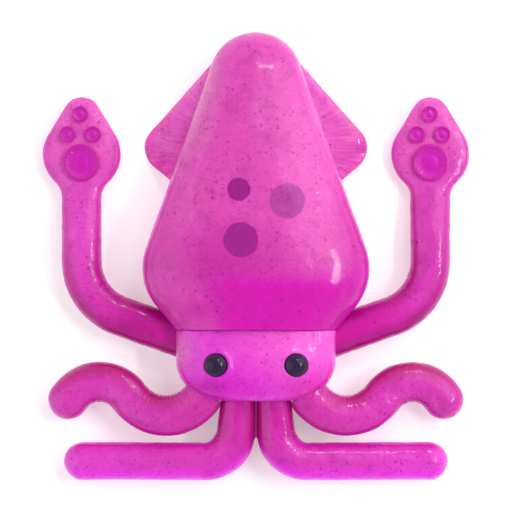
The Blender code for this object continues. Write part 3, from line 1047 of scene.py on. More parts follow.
@dataclass
class Mantle:
    """The body: closed at its rounded tip, flaring to a belly, with a thick rim round the neck."""

    material: Material
    nose_half_width: float = 17.3 * MM
    nose_radius: float = 24.2 * MM
    belly_corner: tuple[float, float] = (65.1 * MM, -12.9 * MM)
    belly_radius: float = 31.5 * MM
    rim_half_width: float = 42.8 * MM
    rim_height: float = 38.0 * MM
    belly_height: float = 43.0 * MM
    nose_height: float = 27.0 * MM
    nose_tip_z: float = 10.0 * MM
    wall: float = 3.6 * MM
    lip: float = 1.0 * MM
    collar_depth: float = 7.0 * MM
    taper: float = 1.2
    tip_gap: float = 0.6 * MM
    sag: float = 0.55 * MM
    sag_size: float = 26.0 * MM
    muscle: float = 0.20 * MM
    muscle_size: tuple[float, float, float] = (8.0 * MM, 13.0 * MM, 8.0 * MM)
    fold: float = 0.30 * MM
    fold_size: tuple[float, float, float] = (3.5 * MM, 22.0 * MM, 3.5 * MM)
    fold_reach: float = 24.0 * MM
    pen: float = 0.35 * MM
    pen_half_width: float = 2.6 * MM
    smooth_from_lip: float = 5.0 * MM
    calm_tip: float = 0.35
    step: float = 1.0 * MM
    section: Section = Section(count=176)

    def __post_init__(self) -> None:
        """Reads where the mantle begins and ends from its solid."""
        low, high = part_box("mantle")
        self.rim_y = low.y
        self.nose_y = high.y

    def top(self, y: np.ndarray) -> np.ndarray:
        """Height of the back above the table.

        Args:
            y: Places along the body.

        Returns:
            The height at each place.
        """
        belly_y = self.belly_corner[1]
        fore = mix(self.belly_height, self.rim_height, ease((belly_y - y) / (belly_y - self.rim_y)))
        share = np.maximum(0.0, y - belly_y) / (self.nose_y - belly_y)
        return np.where(y < belly_y, fore, mix(self.belly_height, self.nose_height, share**self.taper))

    def body(self) -> Rings:
        """The body's outside.

        Returns:
            Rings from the rim's outer edge to just short of the tip.
        """
        corners = [
            (0.0, self.nose_y),
            (self.nose_half_width, self.nose_y),
            self.belly_corner,
            (self.rim_half_width, self.rim_y),
        ]
        outline = filleted(corners, [self.nose_radius, self.belly_radius], self.step)
        outline = outline[outline[:, 0] > self.tip_gap][::-1]
        half_width, y = outline.T
        start = self.nose_y - self.nose_radius
        closing = np.sqrt(np.maximum(0.0, 1.0 - (np.maximum(0.0, y - start) / self.nose_radius) ** 2))
        bottom = mix(self.nose_tip_z, 0.0, closing)
        x, z = self.section.rings(half_width, bottom, mix(self.nose_tip_z, self.top(y), closing))
        return upright(x, y, z)

    def rim(self) -> Rings:
        """The collar's inside and its rounded rim.

        Returns:
            Rings from inside the collar, over the rim, to the rim's outer edge.
        """
        turns = np.radians(np.arange(15.0, 90.0, 15.0))
        rounding = [(self.lip * (1.0 - math.cos(t)), self.lip * (1.0 - math.sin(t))) for t in turns]
        inner = [(self.wall, self.collar_depth), (self.wall, self.collar_depth / 2.0)]
        inner += [(self.wall - inset, depth) for inset, depth in rounding]
        inset, depth = np.array(inner + rounding[::-1]).T
        x, z = self.section.rings(self.rim_half_width - inset, inset, self.rim_height - inset)
        return upright(x, self.rim_y + depth, z)

    def relief(self, rings: Rings) -> np.ndarray:
        """Sag, muscle, folds by the collar, and the line of the pen along the back.

        Args:
            rings: The body's rings.

        Returns:
            The height to add at each point.
        """
        x, y, z = np.moveaxis(rings, -1, 0)
        sag = self.sag * Grain(11).rough(rings, self.sag_size, 2)
        muscle = self.muscle * Grain(21).rough(rings, self.muscle_size, 3)
        creases = Grain(31).rough(rings, self.fold_size, 2)
        folds = self.fold * creases * bump(y, self.rim_y, self.fold_reach)
        pen = self.pen * bump(x, 0.0, self.pen_half_width) * (z > self.nose_tip_z)
        inside = ease((y - self.rim_y - self.lip) / self.smooth_from_lip)
        near_tip = mix(self.calm_tip, 1.0, ease((self.nose_y - y) / self.nose_radius))
        return (sag * near_tip + muscle + folds + pen * near_tip) * inside

    def build(self) -> None:
        """Makes the mantle."""
        body = self.body()
        body = relief(body, self.relief(body))
        rings = np.concatenate((self.rim(), body))
        tip = np.array((0.0, self.nose_y, self.nose_tip_z))
        bm = loft(rings, surface_numbers(rings, self.section), last_pole=tip)
        finish_piece(bm, "mantle", "mantle", self.material, "mantle")


def surface_numbers(rings: Rings, section: Section) -> dict[str, np.ndarray]:
    """The numbers that the skins read: how far up the back a point is, and its place along and across.

    Args:
        rings: The rings' points.
        section: The section that the rings follow.

    Returns:
        An array for each number. "back" runs from 1 on top to -1 below. "middle" runs from 1 on the
        middle line to 0 at either side. "north" runs from -1 at the side nearest -Y to 1 at the side
        nearest +Y. "along_mm" is the distance along the body in millimetres. Where the body draws in
        to its tip, "middle" and "north" still go by its full width.
    """
    shape = rings.shape[:2]
    centres = rings.mean(axis=1)
    away = np.linalg.norm((rings - centres[:, None])[..., :2], axis=-1)
    half = np.maximum.accumulate(away.max(axis=1))[:, None]
    return {
        "back": np.broadcast_to(np.sin(section.angles), shape),
        "middle": 1.0 - away / half,
        "north": (rings[..., 1] - centres[:, None, 1]) / half,
        "along_mm": np.broadcast_to(distances(centres)[:, None] / MM, shape),
    }


@dataclass
class Fin:
    """A thin flap of muscle that leaves the mantle's side and droops to the table."""

    side: Side
    mantle: Mantle
    material: Material
    top_corner: tuple[float, float] = (10.0 * MM, 118.9 * MM)
    corner: tuple[float, float] = (65.7 * MM, 57.1 * MM)
    bottom_corner: tuple[float, float] = (29.2 * MM, 26.3 * MM)
    corner_radius: float = 13.0 * MM
    root_z: float = 15.0 * MM
    root_thickness: float = 6.5 * MM
    edge_thickness: float = 1.1 * MM
    root_inset: float = 9.0 * MM
    breadth: float = 27.5 * MM
    step: float = 0.8 * MM
    overlap: float = 3.0 * MM
    least_root_x: float = 2.0 * MM
    rounded_share: float = 0.97
    fan_out: float = 0.35
    ripple: float = 1.3 * MM
    ripple_size: tuple[float, float, float] = (60.0 * MM, 9.0 * MM, 60.0 * MM)
    drift: float = 0.9 * MM
    drift_size: float = 14.0 * MM
    rib: float = 0.10 * MM
    rib_size: tuple[float, float, float] = (22.0 * MM, 1.6 * MM, 22.0 * MM)
    uneven_edge: float = 0.25 * MM
    uneven_size: float = 5.0 * MM
    chord_points: int = 40

    def side_of_mantle(self, y: np.ndarray) -> np.ndarray:
        """The mantle's straight side.

        Args:
            y: Places along the body.

        Returns:
            The side's distance from the middle at each place.
        """
        nose_x, nose_y = self.mantle.nose_half_width, self.mantle.nose_y
        belly_x, belly_y = self.mantle.belly_corner
        return mix(nose_x, belly_x, (nose_y - y) / (nose_y - belly_y))

    def plate(self) -> tuple[np.ndarray, np.ndarray, np.ndarray, np.ndarray]:
        """The flap as a right fin, in strips across it.

        Returns:
            Each point's X and each strip's Y, how far out each point lies from 0 to 1, and how wide
            each strip is, as a share of the breadth.
        """
        corners = [self.bottom_corner, self.corner, self.top_corner]
        outline = filleted(corners, [self.corner_radius], self.step)
        side_x = self.side_of_mantle(outline[:, 1])
        outside = outline[:, 0] > side_x - self.overlap
        edge_x, y = outline[outside].T
        root_x = np.maximum(self.least_root_x, side_x[outside] - self.root_inset)
        upper = np.linspace(0.0, 1.0, self.chord_points) ** 0.8
        chord = np.concatenate((upper, upper[::-1][1:-1]))
        reach = np.minimum(1.0, np.abs(edge_x - root_x) / self.breadth)[:, None]
        return mix(root_x[:, None], edge_x[:, None], chord), y, chord, reach

    def build(self) -> None:
        """Makes the fin."""
        x, y, chord, reach = self.plate()
        face = np.concatenate((np.ones(self.chord_points), -np.ones(self.chord_points - 2)))
        face[self.chord_points - 1] = 0.0
        middle = mix(self.root_z, self.edge_thickness, ease(reach * chord))
        thickness = mix(self.root_thickness, self.edge_thickness, chord**0.6)
        past = ((chord - self.rounded_share) / (1.0 - self.rounded_share)).clip(0.0)
        rounded = np.where(face == 0.0, 0.0, np.sqrt(np.clip(1.0 - past**2, 0.0, 1.0)))
        z = middle + face * rounded * thickness / 2.0
        rings = upright(self.side.value * x, y, z)
        ripple = self.ripple * Grain(41).once(rings, self.ripple_size) * chord**2 * reach
        drift = self.drift * Grain(55).once(rings, self.drift_size)
        fan = (y[:, None] - self.corner[1]) * (1.0 - self.fan_out * chord) + drift
        strands = np.stack((x, fan, np.zeros_like(x)), axis=-1)
        ribs = self.rib * Grain(51).rough(strands, self.rib_size, 2) * (1.0 - chord**6)
        rings[..., 2] = np.maximum(rings[..., 2] + (ripple + ribs * face), TABLE_GAP)
        rings[..., 1] += self.uneven_edge * Grain(61).once(rings, self.uneven_size) * chord**4
        values = {
            "back": np.broadcast_to(np.where(face >= 0.0, 0.85 - 0.75 * chord**5, -0.8), x.shape),
            "middle": np.broadcast_to(1.0 - chord, x.shape),
            "along_mm": np.broadcast_to(y[:, None] / MM, x.shape),
            "across_mm": x / MM,
            "fan_mm": fan / MM,
        }
        name = f"fin_{self.side.word}"
        finish_piece(loft(rings, values), name, "fin", self.material, name)


# Funnel, head and eyes


@dataclass
class Funnel:
    """The short flattened tube under the neck, with a soft lip round its mouth."""

    material: Material
    back_half_width: float = 15.0 * MM
    mouth_half_width: float = 7.0 * MM
    back_z: tuple[float, float] = (4.4 * MM, 14.5 * MM)
    mouth_z: tuple[float, float] = (0.3 * MM, 9.0 * MM)
    wall: float = 2.0 * MM
    hole_depth: float = 9.0 * MM
    lumps: float = 0.12 * MM
    lump_size: float = 5.0 * MM
    section: Section = Section(count=64, roundness=2.1)

    def __post_init__(self) -> None:
        """Reads where the funnel's mouth and back are from its solid."""
        low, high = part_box("funnel")
        self.mouth_y = low.y
        self.back_y = high.y

    def outline(self, y: np.ndarray) -> tuple[np.ndarray, np.ndarray]:
        """The funnel's outside.

        Args:
            y: Places along the body.

        Returns:
            The half width and the top at each place.
        """
        share = np.clip((self.back_y - y) / (self.back_y - self.mouth_y), 0.0, 1.0)
        half_width = mix(self.back_half_width, self.mouth_half_width, ease(share))
        return half_width, mix(self.back_z[1], self.mouth_z[1], share)

    def build(self) -> None:
        """Makes the funnel from its back to its mouth and back down its bore."""
        length = self.back_y - self.mouth_y
        lip = self.wall / 2.0
        turns = np.radians(np.arange(-90.0, 91.0, 15.0))
        depth = self.hole_depth / length
        outer = [(share, 0.0) for share in np.linspace(0.0, 1.0 - lip / length, 40)]
        edge = [(1.0 + lip * (math.cos(t) - 1.0) / length, lip * (1.0 + math.sin(t))) for t in turns[1:-1]]
        inner = [(share, self.wall) for share in np.linspace(1.0 - lip / length, 1.0 - depth, 10)]
        share, inset = np.array(outer + edge + inner).T
        half_width = mix(self.back_half_width, self.mouth_half_width, ease(share)) - inset
        bottom = mix(self.back_z[0], self.mouth_z[0], ease(2.0 * share)) + inset
        top = mix(self.back_z[1], self.mouth_z[1], share) - inset
        x, z = self.section.rings(half_width, bottom, top)
        rings = upright(x, self.back_y - length * share, z)
        rings = relief(rings, self.lumps * Grain(101).rough(rings, self.lump_size, 3))
        bm = loft(rings, surface_numbers(rings, self.section))
        finish_piece(bm, "funnel", "funnel", self.material, "funnel")


@dataclass
class Head:
    """The soft rounded box that carries the eyes, with its neck inside the mantle's collar."""

    mantle: Mantle
    funnel: Funnel
    material: Material
    corner_radius: float = 22.0 * MM
    height: float = 35.0 * MM
    lip_height: float = 27.5 * MM
    lip_length: float = 13.0 * MM
    rim_gap: float = 0.05 * MM
    shoulder: float = 0.4 * MM
    neck_clearance: float = 0.7 * MM
    neck_length: float = 5.5 * MM
    eye_bulge: float = 2.2 * MM
    eye_spread: float = 8.5 * MM
    eye_opening: float = 6.3 * MM
    groove_clearance: float = 1.1 * MM
    groove_share: float = 0.445
    groove_roundness: float = 3.5
    groove_end: float = 1.6 * MM
    sag: float = 0.35 * MM
    sag_size: float = 18.0 * MM
    wrinkle: float = 0.10 * MM
    wrinkle_size: float = 4.5 * MM
    fold: float = 0.5 * MM
    fold_half_width: float = 1.1 * MM
    fold_reach: float = 10.0 * MM
    fold_places: tuple[float, ...] = (31.5 * MM, 35.0 * MM, 38.5 * MM)
    clear_of_eye: float = 4.0 * MM
    clear_fade: float = 6.0 * MM
    dish: float = 3.2 * MM
    dish_margin: float = 0.6 * MM
    dish_fade: float = 1.6 * MM
    front_gap: float = 0.02 * MM
    front_middle_share: float = 0.45
    step: float = 0.8 * MM
    section: Section = Section(count=200, roundness=2.9)

    def __post_init__(self) -> None:
        """Reads the head's and the eyes' places from their solids."""
        low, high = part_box("head")
        self.front_y = low.y
        self.half_width = high.x
        self.rim_y = self.mantle.rim_y - self.rim_gap
        eye_low, eye_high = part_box("eye_right")
        self.eye = (eye_low + eye_high) / 2.0
        self.eye_radius = (eye_high.z - eye_low.z) / 2.0
        self.front_middle = np.array((0.0, self.front_y, self.front_middle_share * self.lip_height))

    def top(self, y: np.ndarray) -> np.ndarray:
        """Height of the head, which rounds down at its front lip."""
        over = np.maximum(0.0, self.front_y + self.lip_length - y) / self.lip_length
        return mix(self.lip_height, self.height, np.sqrt(np.maximum(0.0, 1.0 - over**2)))

    def surface(self, x: np.ndarray, y: np.ndarray) -> np.ndarray:
        """Height of the smooth head above places in plan.

        Args:
            x: The places' X.
            y: The places' Y.

        Returns:
            The height at each place.
        """
        round_in = np.maximum(0.0, self.front_y + self.corner_radius - y)
        half_width = self.half_width - self.corner_radius + np.sqrt(self.corner_radius**2 - round_in**2)
        power = self.section.roundness
        rise = (1.0 - np.clip(np.abs(x) / half_width, 0.0, 1.0) ** power) ** (1.0 / power)
        top = self.top(y)
        z = mix(self.section.widest * top, top, rise)
        return z + self.swelling(x, y) * ease(2.0 * z / top - 1.0)

    def from_eye(self, x: np.ndarray, y: np.ndarray) -> np.ndarray:
        """Distance in plan from the nearer eye's middle."""
        return np.hypot(np.abs(x) - self.eye.x, y - self.eye.y)

    def swelling(self, x: np.ndarray, y: np.ndarray) -> np.ndarray:
        """How far the skin rises round the eyes."""
        return self.eye_bulge * np.exp(-((self.from_eye(x, y) / self.eye_spread) ** 2) / 2.0)

    def outer(self) -> Rings:
        """The head's outside.

        Returns:
            Rings from the shoulder at the rim to the front.
        """
        side = self.half_width
        corners = [(side, self.rim_y - self.shoulder), (side, self.front_y), (0.0, self.front_y)]
        outline = filleted(corners, [self.corner_radius], self.step)
        outline = outline[outline[:, 1] > self.front_y + self.front_gap]
        outline = np.vstack((outline, (side - self.corner_radius, self.front_y)))
        half_width, y = outline.T
        top = self.top(y)
        x, z = self.section.rings(half_width, np.zeros_like(y), top)
        swollen = self.swelling(x, y[:, None]) * ease(2.0 * z / top[:, None] - 1.0)
        return upright(x, y, z + swollen)

    def grooved(self, rings: Rings) -> Rings:
        """Hollows the underside round the funnel, as far as just past its mouth.

        Args:
            rings: Rings of the head or its neck.

        Returns:
            The rings with the groove, whose edges their points follow.
        """
        x, y, z = np.moveaxis(rings, -1, 0)
        half_width, top = self.funnel.outline(y)
        groove = half_width + self.groove_clearance
        widest = np.abs(x).max(axis=1, keepdims=True)
        share = np.abs(x / widest)
        reach = share / self.groove_share
        flat = self.section.flat_share
        beyond = np.clip((share - self.groove_share) / (flat - self.groove_share), 0.0, 1.0)
        moved = np.where(reach < 1.0, groove * reach, mix(groove, widest * flat, beyond))
        ends = ease((y - self.funnel.mouth_y + self.groove_end) / self.groove_end)
        power = self.groove_roundness
        arch = np.clip(1.0 - reach**power, 0.0, 1.0) ** (1.0 / power)
        under = (np.sin(self.section.angles) < 0.0) & (share < flat)
        hollow = np.maximum(z, arch * ends * (top + self.groove_clearance))
        x = np.where(under, mix(x, np.sign(x) * moved, ends), x)
        return np.stack((x, y, np.where(under, hollow, z)), axis=-1)

    def neck(self) -> Rings:
        """The neck inside the collar, and the rounded shoulder that widens it to the head.

        Returns:
            Rings from the neck's end to the shoulder.
        """
        inset = self.mantle.wall + self.neck_clearance
        turns = np.radians(np.arange(0.0, 90.0, 15.0))
        profile = [(inset, -self.neck_length), (inset, -self.neck_length / 2.0), (inset, 0.0)]
        profile += [(mix(inset, self.shoulder, share), 0.0) for share in (0.4, 0.8)]
        profile += [(self.shoulder * (1.0 - math.sin(t)), self.shoulder * (1.0 - math.cos(t))) for t in turns]
        inward, forward = np.array(profile).T
        like_collar = replace(self.section, roundness=self.mantle.section.roundness)
        sizes = (self.half_width - inward, inward, self.height - inward)
        fits = [section.rings(*sizes) for section in (like_collar, self.section)]
        x, z = (np.where(inward[:, None] < inset, wide, narrow) for narrow, wide in zip(*fits))
        y = self.rim_y - forward
        z = z + self.swelling(x, y[:, None]) * ease(2.0 * z / self.height - 1.0)
        return upright(x, y, z)

    def front(self, edge: np.ndarray) -> Rings:
        """Rings that draw the flat front wall together."""
        return np.stack([mix(edge, self.front_middle, share) for share in (0.12, 0.3, 0.55, 0.8)])

    def relief(self, rings: Rings) -> np.ndarray:
        """Soft lumps, fine wrinkles and the folds of skin behind each eye.

        Args:
            rings: The head's rings.

        Returns:
            The height to add at each point.
        """
        x, y, _ = np.moveaxis(rings, -1, 0)
        sag = self.sag * Grain(71).rough(rings, self.sag_size, 2)
        fine = self.wrinkle * Grain(81).rough(rings, self.wrinkle_size, 3)
        folds = sum(bump(np.abs(x), place, self.fold_half_width) for place in self.fold_places)
        folds = self.fold * folds * bump(y, self.rim_y, self.fold_reach)
        clear = ease((self.from_eye(x, y) - self.eye_opening - self.clear_of_eye) / self.clear_fade)
        return (sag + fine + folds) * clear

    def build(self) -> None:
        """Makes the head, dished under each eye."""
        outer = self.grooved(self.outer())
        outer = relief(outer, self.relief(outer))
        x, y, z = np.moveaxis(outer, -1, 0)
        inside = ease((self.eye_opening + self.dish_margin - self.from_eye(x, y)) / self.dish_fade)
        outer[..., 2] = z - self.dish * inside * (z > self.lip_height)
        rings = np.concatenate((self.grooved(self.neck()), outer, self.front(outer[-1])))
        bm = loft(rings, surface_numbers(rings, self.section), last_pole=self.front_middle)
        bmesh.ops.remove_doubles(bm, verts=bm.verts, dist=MERGE)
        finish_piece(bm, "head", "head", self.material, "head")


@dataclass
class Eye:
    """A glossy globe under the skin, with a soft lid round it."""

    side: Side
    head: Head
    lens: Material
    skin: Material
    segments: int = 96
    shadow: float = 2.0
    fold: float = 0.16 * MM
    fold_size: float = 3.0 * MM
    lid: tuple[tuple[float, float], ...] = (
        (-0.15 * MM, -2.4 * MM),
        (-0.15 * MM, -0.7 * MM),
        (-0.08 * MM, -0.1 * MM),
        (0.15 * MM, 0.36 * MM),
        (0.55 * MM, 0.60 * MM),
        (1.0 * MM, 0.64 * MM),
        (1.5 * MM, 0.53 * MM),
        (2.0 * MM, 0.36 * MM),
        (2.6 * MM, 0.19 * MM),
        (3.3 * MM, 0.08 * MM),
        (4.2 * MM, 0.01 * MM),
        (5.2 * MM, -0.06 * MM),
        (5.4 * MM, -1.2 * MM),
    )

    def place(self) -> Vector:
        """The globe's middle."""
        return Vector((self.side.value * self.head.eye.x, self.head.eye.y, self.head.eye.z))

    def build_globe(self) -> None:
        """Makes the globe, with painted shade that darkens its colour where its lower half goes into the
        head.
        """
        centre = np.array(self.place())
        radius = self.head.eye_radius
        polar = np.radians(np.arange(3.0, 180.0, 3.0))
        turn = circle(self.segments)
        x = np.outer(np.sin(polar), np.cos(turn))
        y = np.outer(np.sin(polar), np.sin(turn))
        z = np.broadcast_to(np.cos(polar)[:, None], x.shape)
        rings = centre + np.stack((x, y, z), axis=-1) * radius
        # Painted shade: the lower half runs to the darkest colour twice as fast.
        away = np.sin(polar) * np.where(polar < math.pi / 2.0, 1.0, self.shadow)
        values = {"from_axis": np.broadcast_to(np.minimum(1.0, away)[:, None], x.shape)}
        poles = [centre + np.array((0.0, 0.0, sign * radius)) for sign in (1.0, -1.0)]
        name = f"eye_{self.side.word}"
        finish_piece(loft(rings, values, *poles), name, "eye", self.lens, name)

    def build_lid(self) -> None:
        """Makes the lid: a soft roll of skin round the globe, whose outer skirt meets the head."""
        centre = self.place()
        turn = circle(self.segments)
        opening = self.head.eye_opening
        rings = []
        for beyond, rise in self.lid:
            x = centre.x + (opening + beyond) * np.cos(turn)
            y = centre.y + (opening + beyond) * np.sin(turn)
            rings.append(np.stack((x, y, self.head.surface(x, y) + rise), axis=-1))
        rings = np.array(rings)
        away = self.head.from_eye(rings[..., 0], rings[..., 1])
        near = ease((opening + self.fold_size - away) / self.fold_size)
        rings[..., 2] += self.fold * near * Grain(91).once(rings, self.fold_size)
        first, last = rings[0].mean(axis=0), rings[-1].mean(axis=0)
        bm = loft(rings, {"back": np.full(rings.shape[:2], 0.9)}, first, last)
        finish_piece(bm, f"eye_{self.side.word}_lid", "head", self.skin, "head")


# Suckers


@dataclass(frozen=True)
class Sucker:
    """A round cup with a fleshy ring, turned from a profile in shares of its radius."""

    radius: float
    segments: int
    rise: float
    cup: float
    foot: float
    teeth: int = 0

    def profile(self) -> list[tuple[float, float, float]]:
        """The line that is turned into the sucker.

        Returns:
            Points from the foot to the cup's floor, as (reach, height, number for the finish).
        """
        r, top = self.radius, self.rise
        if not self.teeth:
            return [
                (0.90 * r, -self.foot, 0.0),
                (1.00 * r, 0.45 * top, 0.20),
                (0.84 * r, top, 0.52),
                (0.60 * r, top - 0.70 * self.cup, 0.80),
            ]
        return [
            (0.80 * r, -self.foot, 0.0),
            (0.93 * r, -0.25 * self.foot, 0.0),
            (1.00 * r, 0.35 * top, 0.15),
            (0.985 * r, 0.75 * top, 0.35),
            (0.93 * r, 0.97 * top, 0.45),
            (0.87 * r, 1.00 * top, 0.50),
            (0.81 * r, 0.90 * top, 0.58),
            (0.77 * r, top - 0.45 * self.cup, 0.66),
            (0.68 * r, top - 0.72 * self.cup, 0.75),
            (0.50 * r, top - 0.90 * self.cup, 0.85),
            (0.40 * r, top - 0.92 * self.cup, 0.88),
            (0.34 * r, top - 0.80 * self.cup, 0.82),
            (0.24 * r, top - 0.62 * self.cup, 0.76),
            (0.12 * r, top - 0.56 * self.cup, 0.74),
        ]

    def uneven(self, reach: float, turn: np.ndarray) -> tuple[np.ndarray, np.ndarray]:
        """Teeth round the ring's inner edge, and folds of flesh that run down into the cup.

        Args:
            reach: The profile point's distance from the axis.
            turn: The angles round the sucker.

        Returns:
            The factor on the reach, and the height to add, at each angle.
        """
        share = reach / self.radius
        wave = np.cos(self.teeth * turn) if self.teeth else np.zeros_like(turn)
        ring = bump(share, 0.79, 0.05)
        folds = bump(share, 0.60, 0.12)
        return 1.0 - 0.022 * ring * wave, self.cup * (0.09 * ring + 0.05 * folds) * wave

    def turned(self) -> BMesh:
        """Turns the profile about +Z.

        Returns:
            The sucker's mesh, with its rim at the height of the rise.
        """
        turn = circle(self.segments)
        rings = []
        for reach, height, _ in self.profile():
            factor, lift = self.uneven(reach, turn)
            out = reach * factor
            rings.append(np.stack((out * np.cos(turn), out * np.sin(turn), height + lift), axis=-1))
        numbers = np.array([number for _, _, number in self.profile()])
        values = {"cup": np.broadcast_to(numbers[:, None], (len(numbers), self.segments))}
        depth = 0.54 if self.teeth else 1.02
        floor = np.array((0.0, 0.0, self.rise - depth * self.cup))
        return loft(np.array(rings), values, last_pole=floor)


def scattered(places: list[tuple[Sucker, Matrix]]) -> BMesh:
    """Joins a sucker at each place into one mesh, and keeps it above the table.

    Args:
        places: Each sucker with the matrix that sets it on the skin.

    Returns:
        The joined mesh.
    """
    joined = bmesh.new()
    joined.verts.layers.float.new("cup")
    templates: dict[Sucker, bpy.types.Mesh] = {}
    for sucker, matrix in places:
        if sucker not in templates:
            templates[sucker] = bpy.data.meshes.new("sucker_template")
            turned = sucker.turned()
            turned.to_mesh(templates[sucker])
            turned.free()
        placed = templates[sucker].copy()
        placed.transform(matrix)
        joined.from_mesh(placed)
        bpy.data.meshes.remove(placed)
    for template in templates.values():
        bpy.data.meshes.remove(template)
    for vert in joined.verts:
        vert.co.z = max(vert.co.z, TABLE_GAP)
    return joined


def facing(place: np.ndarray, normal: np.ndarray) -> Matrix:
    """The matrix that sets +Z along a normal at a place."""
    turn = Vector(normal).to_track_quat("Z", "Y").to_matrix().to_4x4()
    return Matrix.Translation(Vector(place)) @ turn


# Tentacles and arms


@dataclass
class Tentacle:
    """A long stalk that turns up beside the mantle and ends in a spade-shaped club with suckers."""

    side: Side
    skin: Material
    cup: Material
    start: tuple[float, float] = (-36.0 * MM, -45.4 * MM)
    heading: float = 160.5
    lead: float = 39.0 * MM
    bend_radius: float = 31.4 * MM
    x: float = -93.8 * MM
    stalk_half_width: float = 10.8 * MM
    stalk_height: float = 16.5 * MM
    nose_corner_x: float = 5.7 * MM
    nose_radius: float = 11.6 * MM
    club_corner: tuple[float, float] = (26.8 * MM, 51.2 * MM)
    club_radius: float = 20.5 * MM
    below_bend_y: float = -60.0 * MM
    neck_y: float = 36.3 * MM
    neck_radius: float = 10.5 * MM
    club_height: float = 10.5 * MM
    thin_from: float = 6.0 * MM
    thin_to: float = 42.0 * MM
    tip_z: float = 3.5 * MM
    tip_gap: float = 0.5 * MM
    muscle: float = 0.22 * MM
    muscle_size: float = 9.0 * MM
    club_fade: float = 12.0 * MM
    web: float = 0.45 * MM
    dish: float = 0.5 * MM
    step: float = 0.8 * MM
    section: Section = Section(count=80)
    suckers: tuple[tuple[float, float, float], ...] = (
        (-0.6 * MM, 76.2 * MM, 4.5 * MM),
        (-7.5 * MM, 65.3 * MM, 4.5 * MM),
        (6.3 * MM, 65.3 * MM, 4.5 * MM),
        (0.0, 50.2 * MM, 10.0 * MM),
    )
    sucker_rise: float = 1.6 * MM
    sucker_cup: float = 1.1 * MM

    def __post_init__(self) -> None:
        """Reads the club's tip from the solid."""
        _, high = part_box(f"tentacle_{self.side.word}")
        self.tip_y = high.y

    def outline(self) -> np.ndarray:
        """The outline of the club and the stalk, on one side of their middle.

        Returns:
            Points as (half width, Y), from below the bend to the tip.
        """
        corners = [
            (self.stalk_half_width, self.below_bend_y),
            (self.stalk_half_width, self.neck_y),
            self.club_corner,
            (self.nose_corner_x, self.tip_y),
            (0.0, self.tip_y),
        ]
        radii = [self.neck_radius, self.club_radius, self.nose_radius]
        return filleted(corners, radii, self.step / 2.0)

    def rings(self) -> tuple[Rings, np.ndarray, np.ndarray]:
        """The tentacle from its root, round its bend and up to just short of the club's tip.

        Returns:
            The rings, and each ring's half width and curvature.
        """
        turn = 90.0 - self.heading
        route = Route(self.start, self.heading, [(self.lead, 0.0), arc(self.bend_radius, turn)])
        places, headings, _, bends = route.stations(self.step)
        places[:, 0] += self.x - places[-1, 0]
        outline = self.outline()
        bend_top = places[-1, 1]
        upper = outline[(outline[:, 1] > bend_top + self.step) & (outline[:, 0] > self.tip_gap)]
        gaps = distances(upper)
        even = np.linspace(0.0, gaps[-1], math.ceil(gaps[-1] / self.step))
        upper = np.stack([np.interp(even, gaps, upper[:, i]) for i in (0, 1)], axis=1)
        places = np.vstack((places, np.stack((np.full(len(upper), self.x), upper[:, 1]), axis=1)))
        headings = np.concatenate((headings, np.full(len(upper), math.pi / 2.0)))
        bends = np.concatenate((bends, np.zeros(len(upper))))
        half = np.concatenate((np.full(len(places) - len(upper), self.stalk_half_width), upper[:, 0]))
        y = places[:, 1]
        thinning = ease((y - self.thin_from) / (self.thin_to - self.thin_from))
        top = mix(self.stalk_height, self.club_height, thinning)
        closing = np.where(y > self.club_corner[1], np.minimum(1.0, half / self.nose_radius), 1.0)
        across, up = self.section.rings(half, mix(self.tip_z, 0.0, closing), mix(self.tip_z, top, closing))
        return across_route(places, headings, across, up, self.side), half, bends

    def relief(self, rings: Rings, half: np.ndarray, bends: np.ndarray) -> np.ndarray:
        """Muscle, wrinkles, creases on the bend's inner side, and the club's dish and web.

        Args:
            rings: The tentacle's rings.
            half: Each ring's half width.
            bends: Each ring's curvature.

        Returns:
            The height to add at each point.
        """
        share, rise = np.cos(self.section.angles), np.sin(self.section.angles)
        muscle = self.muscle * Grain(111).rough(rings, self.muscle_size, 3)
        creases = bend_creases(rings, bends, self.section, Grain(121))
        club = ease((rings[..., 1] - self.neck_y) / self.club_fade)
        web = self.web * bump(np.abs(share), 0.90, 0.07) * (rise > 0.0)
        dish = -self.dish * bump(share, 0.0, 0.45) * (rise > 0.5)
        near_tip = ease((half[:, None] - 1.5 * MM) / (4.0 * MM))
        folds = wrinkles(rings, self.section, Grain(161)) * (1.0 - club)
        return (muscle + creases + folds + club * (web + dish)) * near_tip

    def big_suckers(self) -> list[tuple[Sucker, Matrix]]:
        """The four suckers that stand on the club.

        Returns:
            Each sucker with the matrix that sets it on the club.
        """
        placed = []
        for across, y, radius in self.suckers:
            large = radius > 6.0 * MM
            shape = Sucker(
                radius=radius,
                segments=192 if large else 96,
                rise=self.sucker_rise,
                cup=self.sucker_cup,
                foot=2.4 * MM,
                teeth=32 if large else 16,
            )
            place = Vector((self.side.value * abs(self.x) + across, y, self.club_height))
            placed.append((shape, Matrix.Translation(place)))
        return placed

    def build(self) -> None:
        """Makes the tentacle and its suckers."""
        rings, half, bends = self.rings()
        rings = relief(rings, self.relief(rings, half, bends))
        tip = np.array((self.side.value * abs(self.x), self.tip_y, self.tip_z))
        node = f"tentacle_{self.side.word}"
        bm = loft(rings, surface_numbers(rings, self.section), last_pole=tip)
        finish_piece(bm, node, "tentacle", self.skin, node)
        finish_piece(scattered(self.big_suckers()), f"{node}_suckers", "tentacle", self.cup, node)


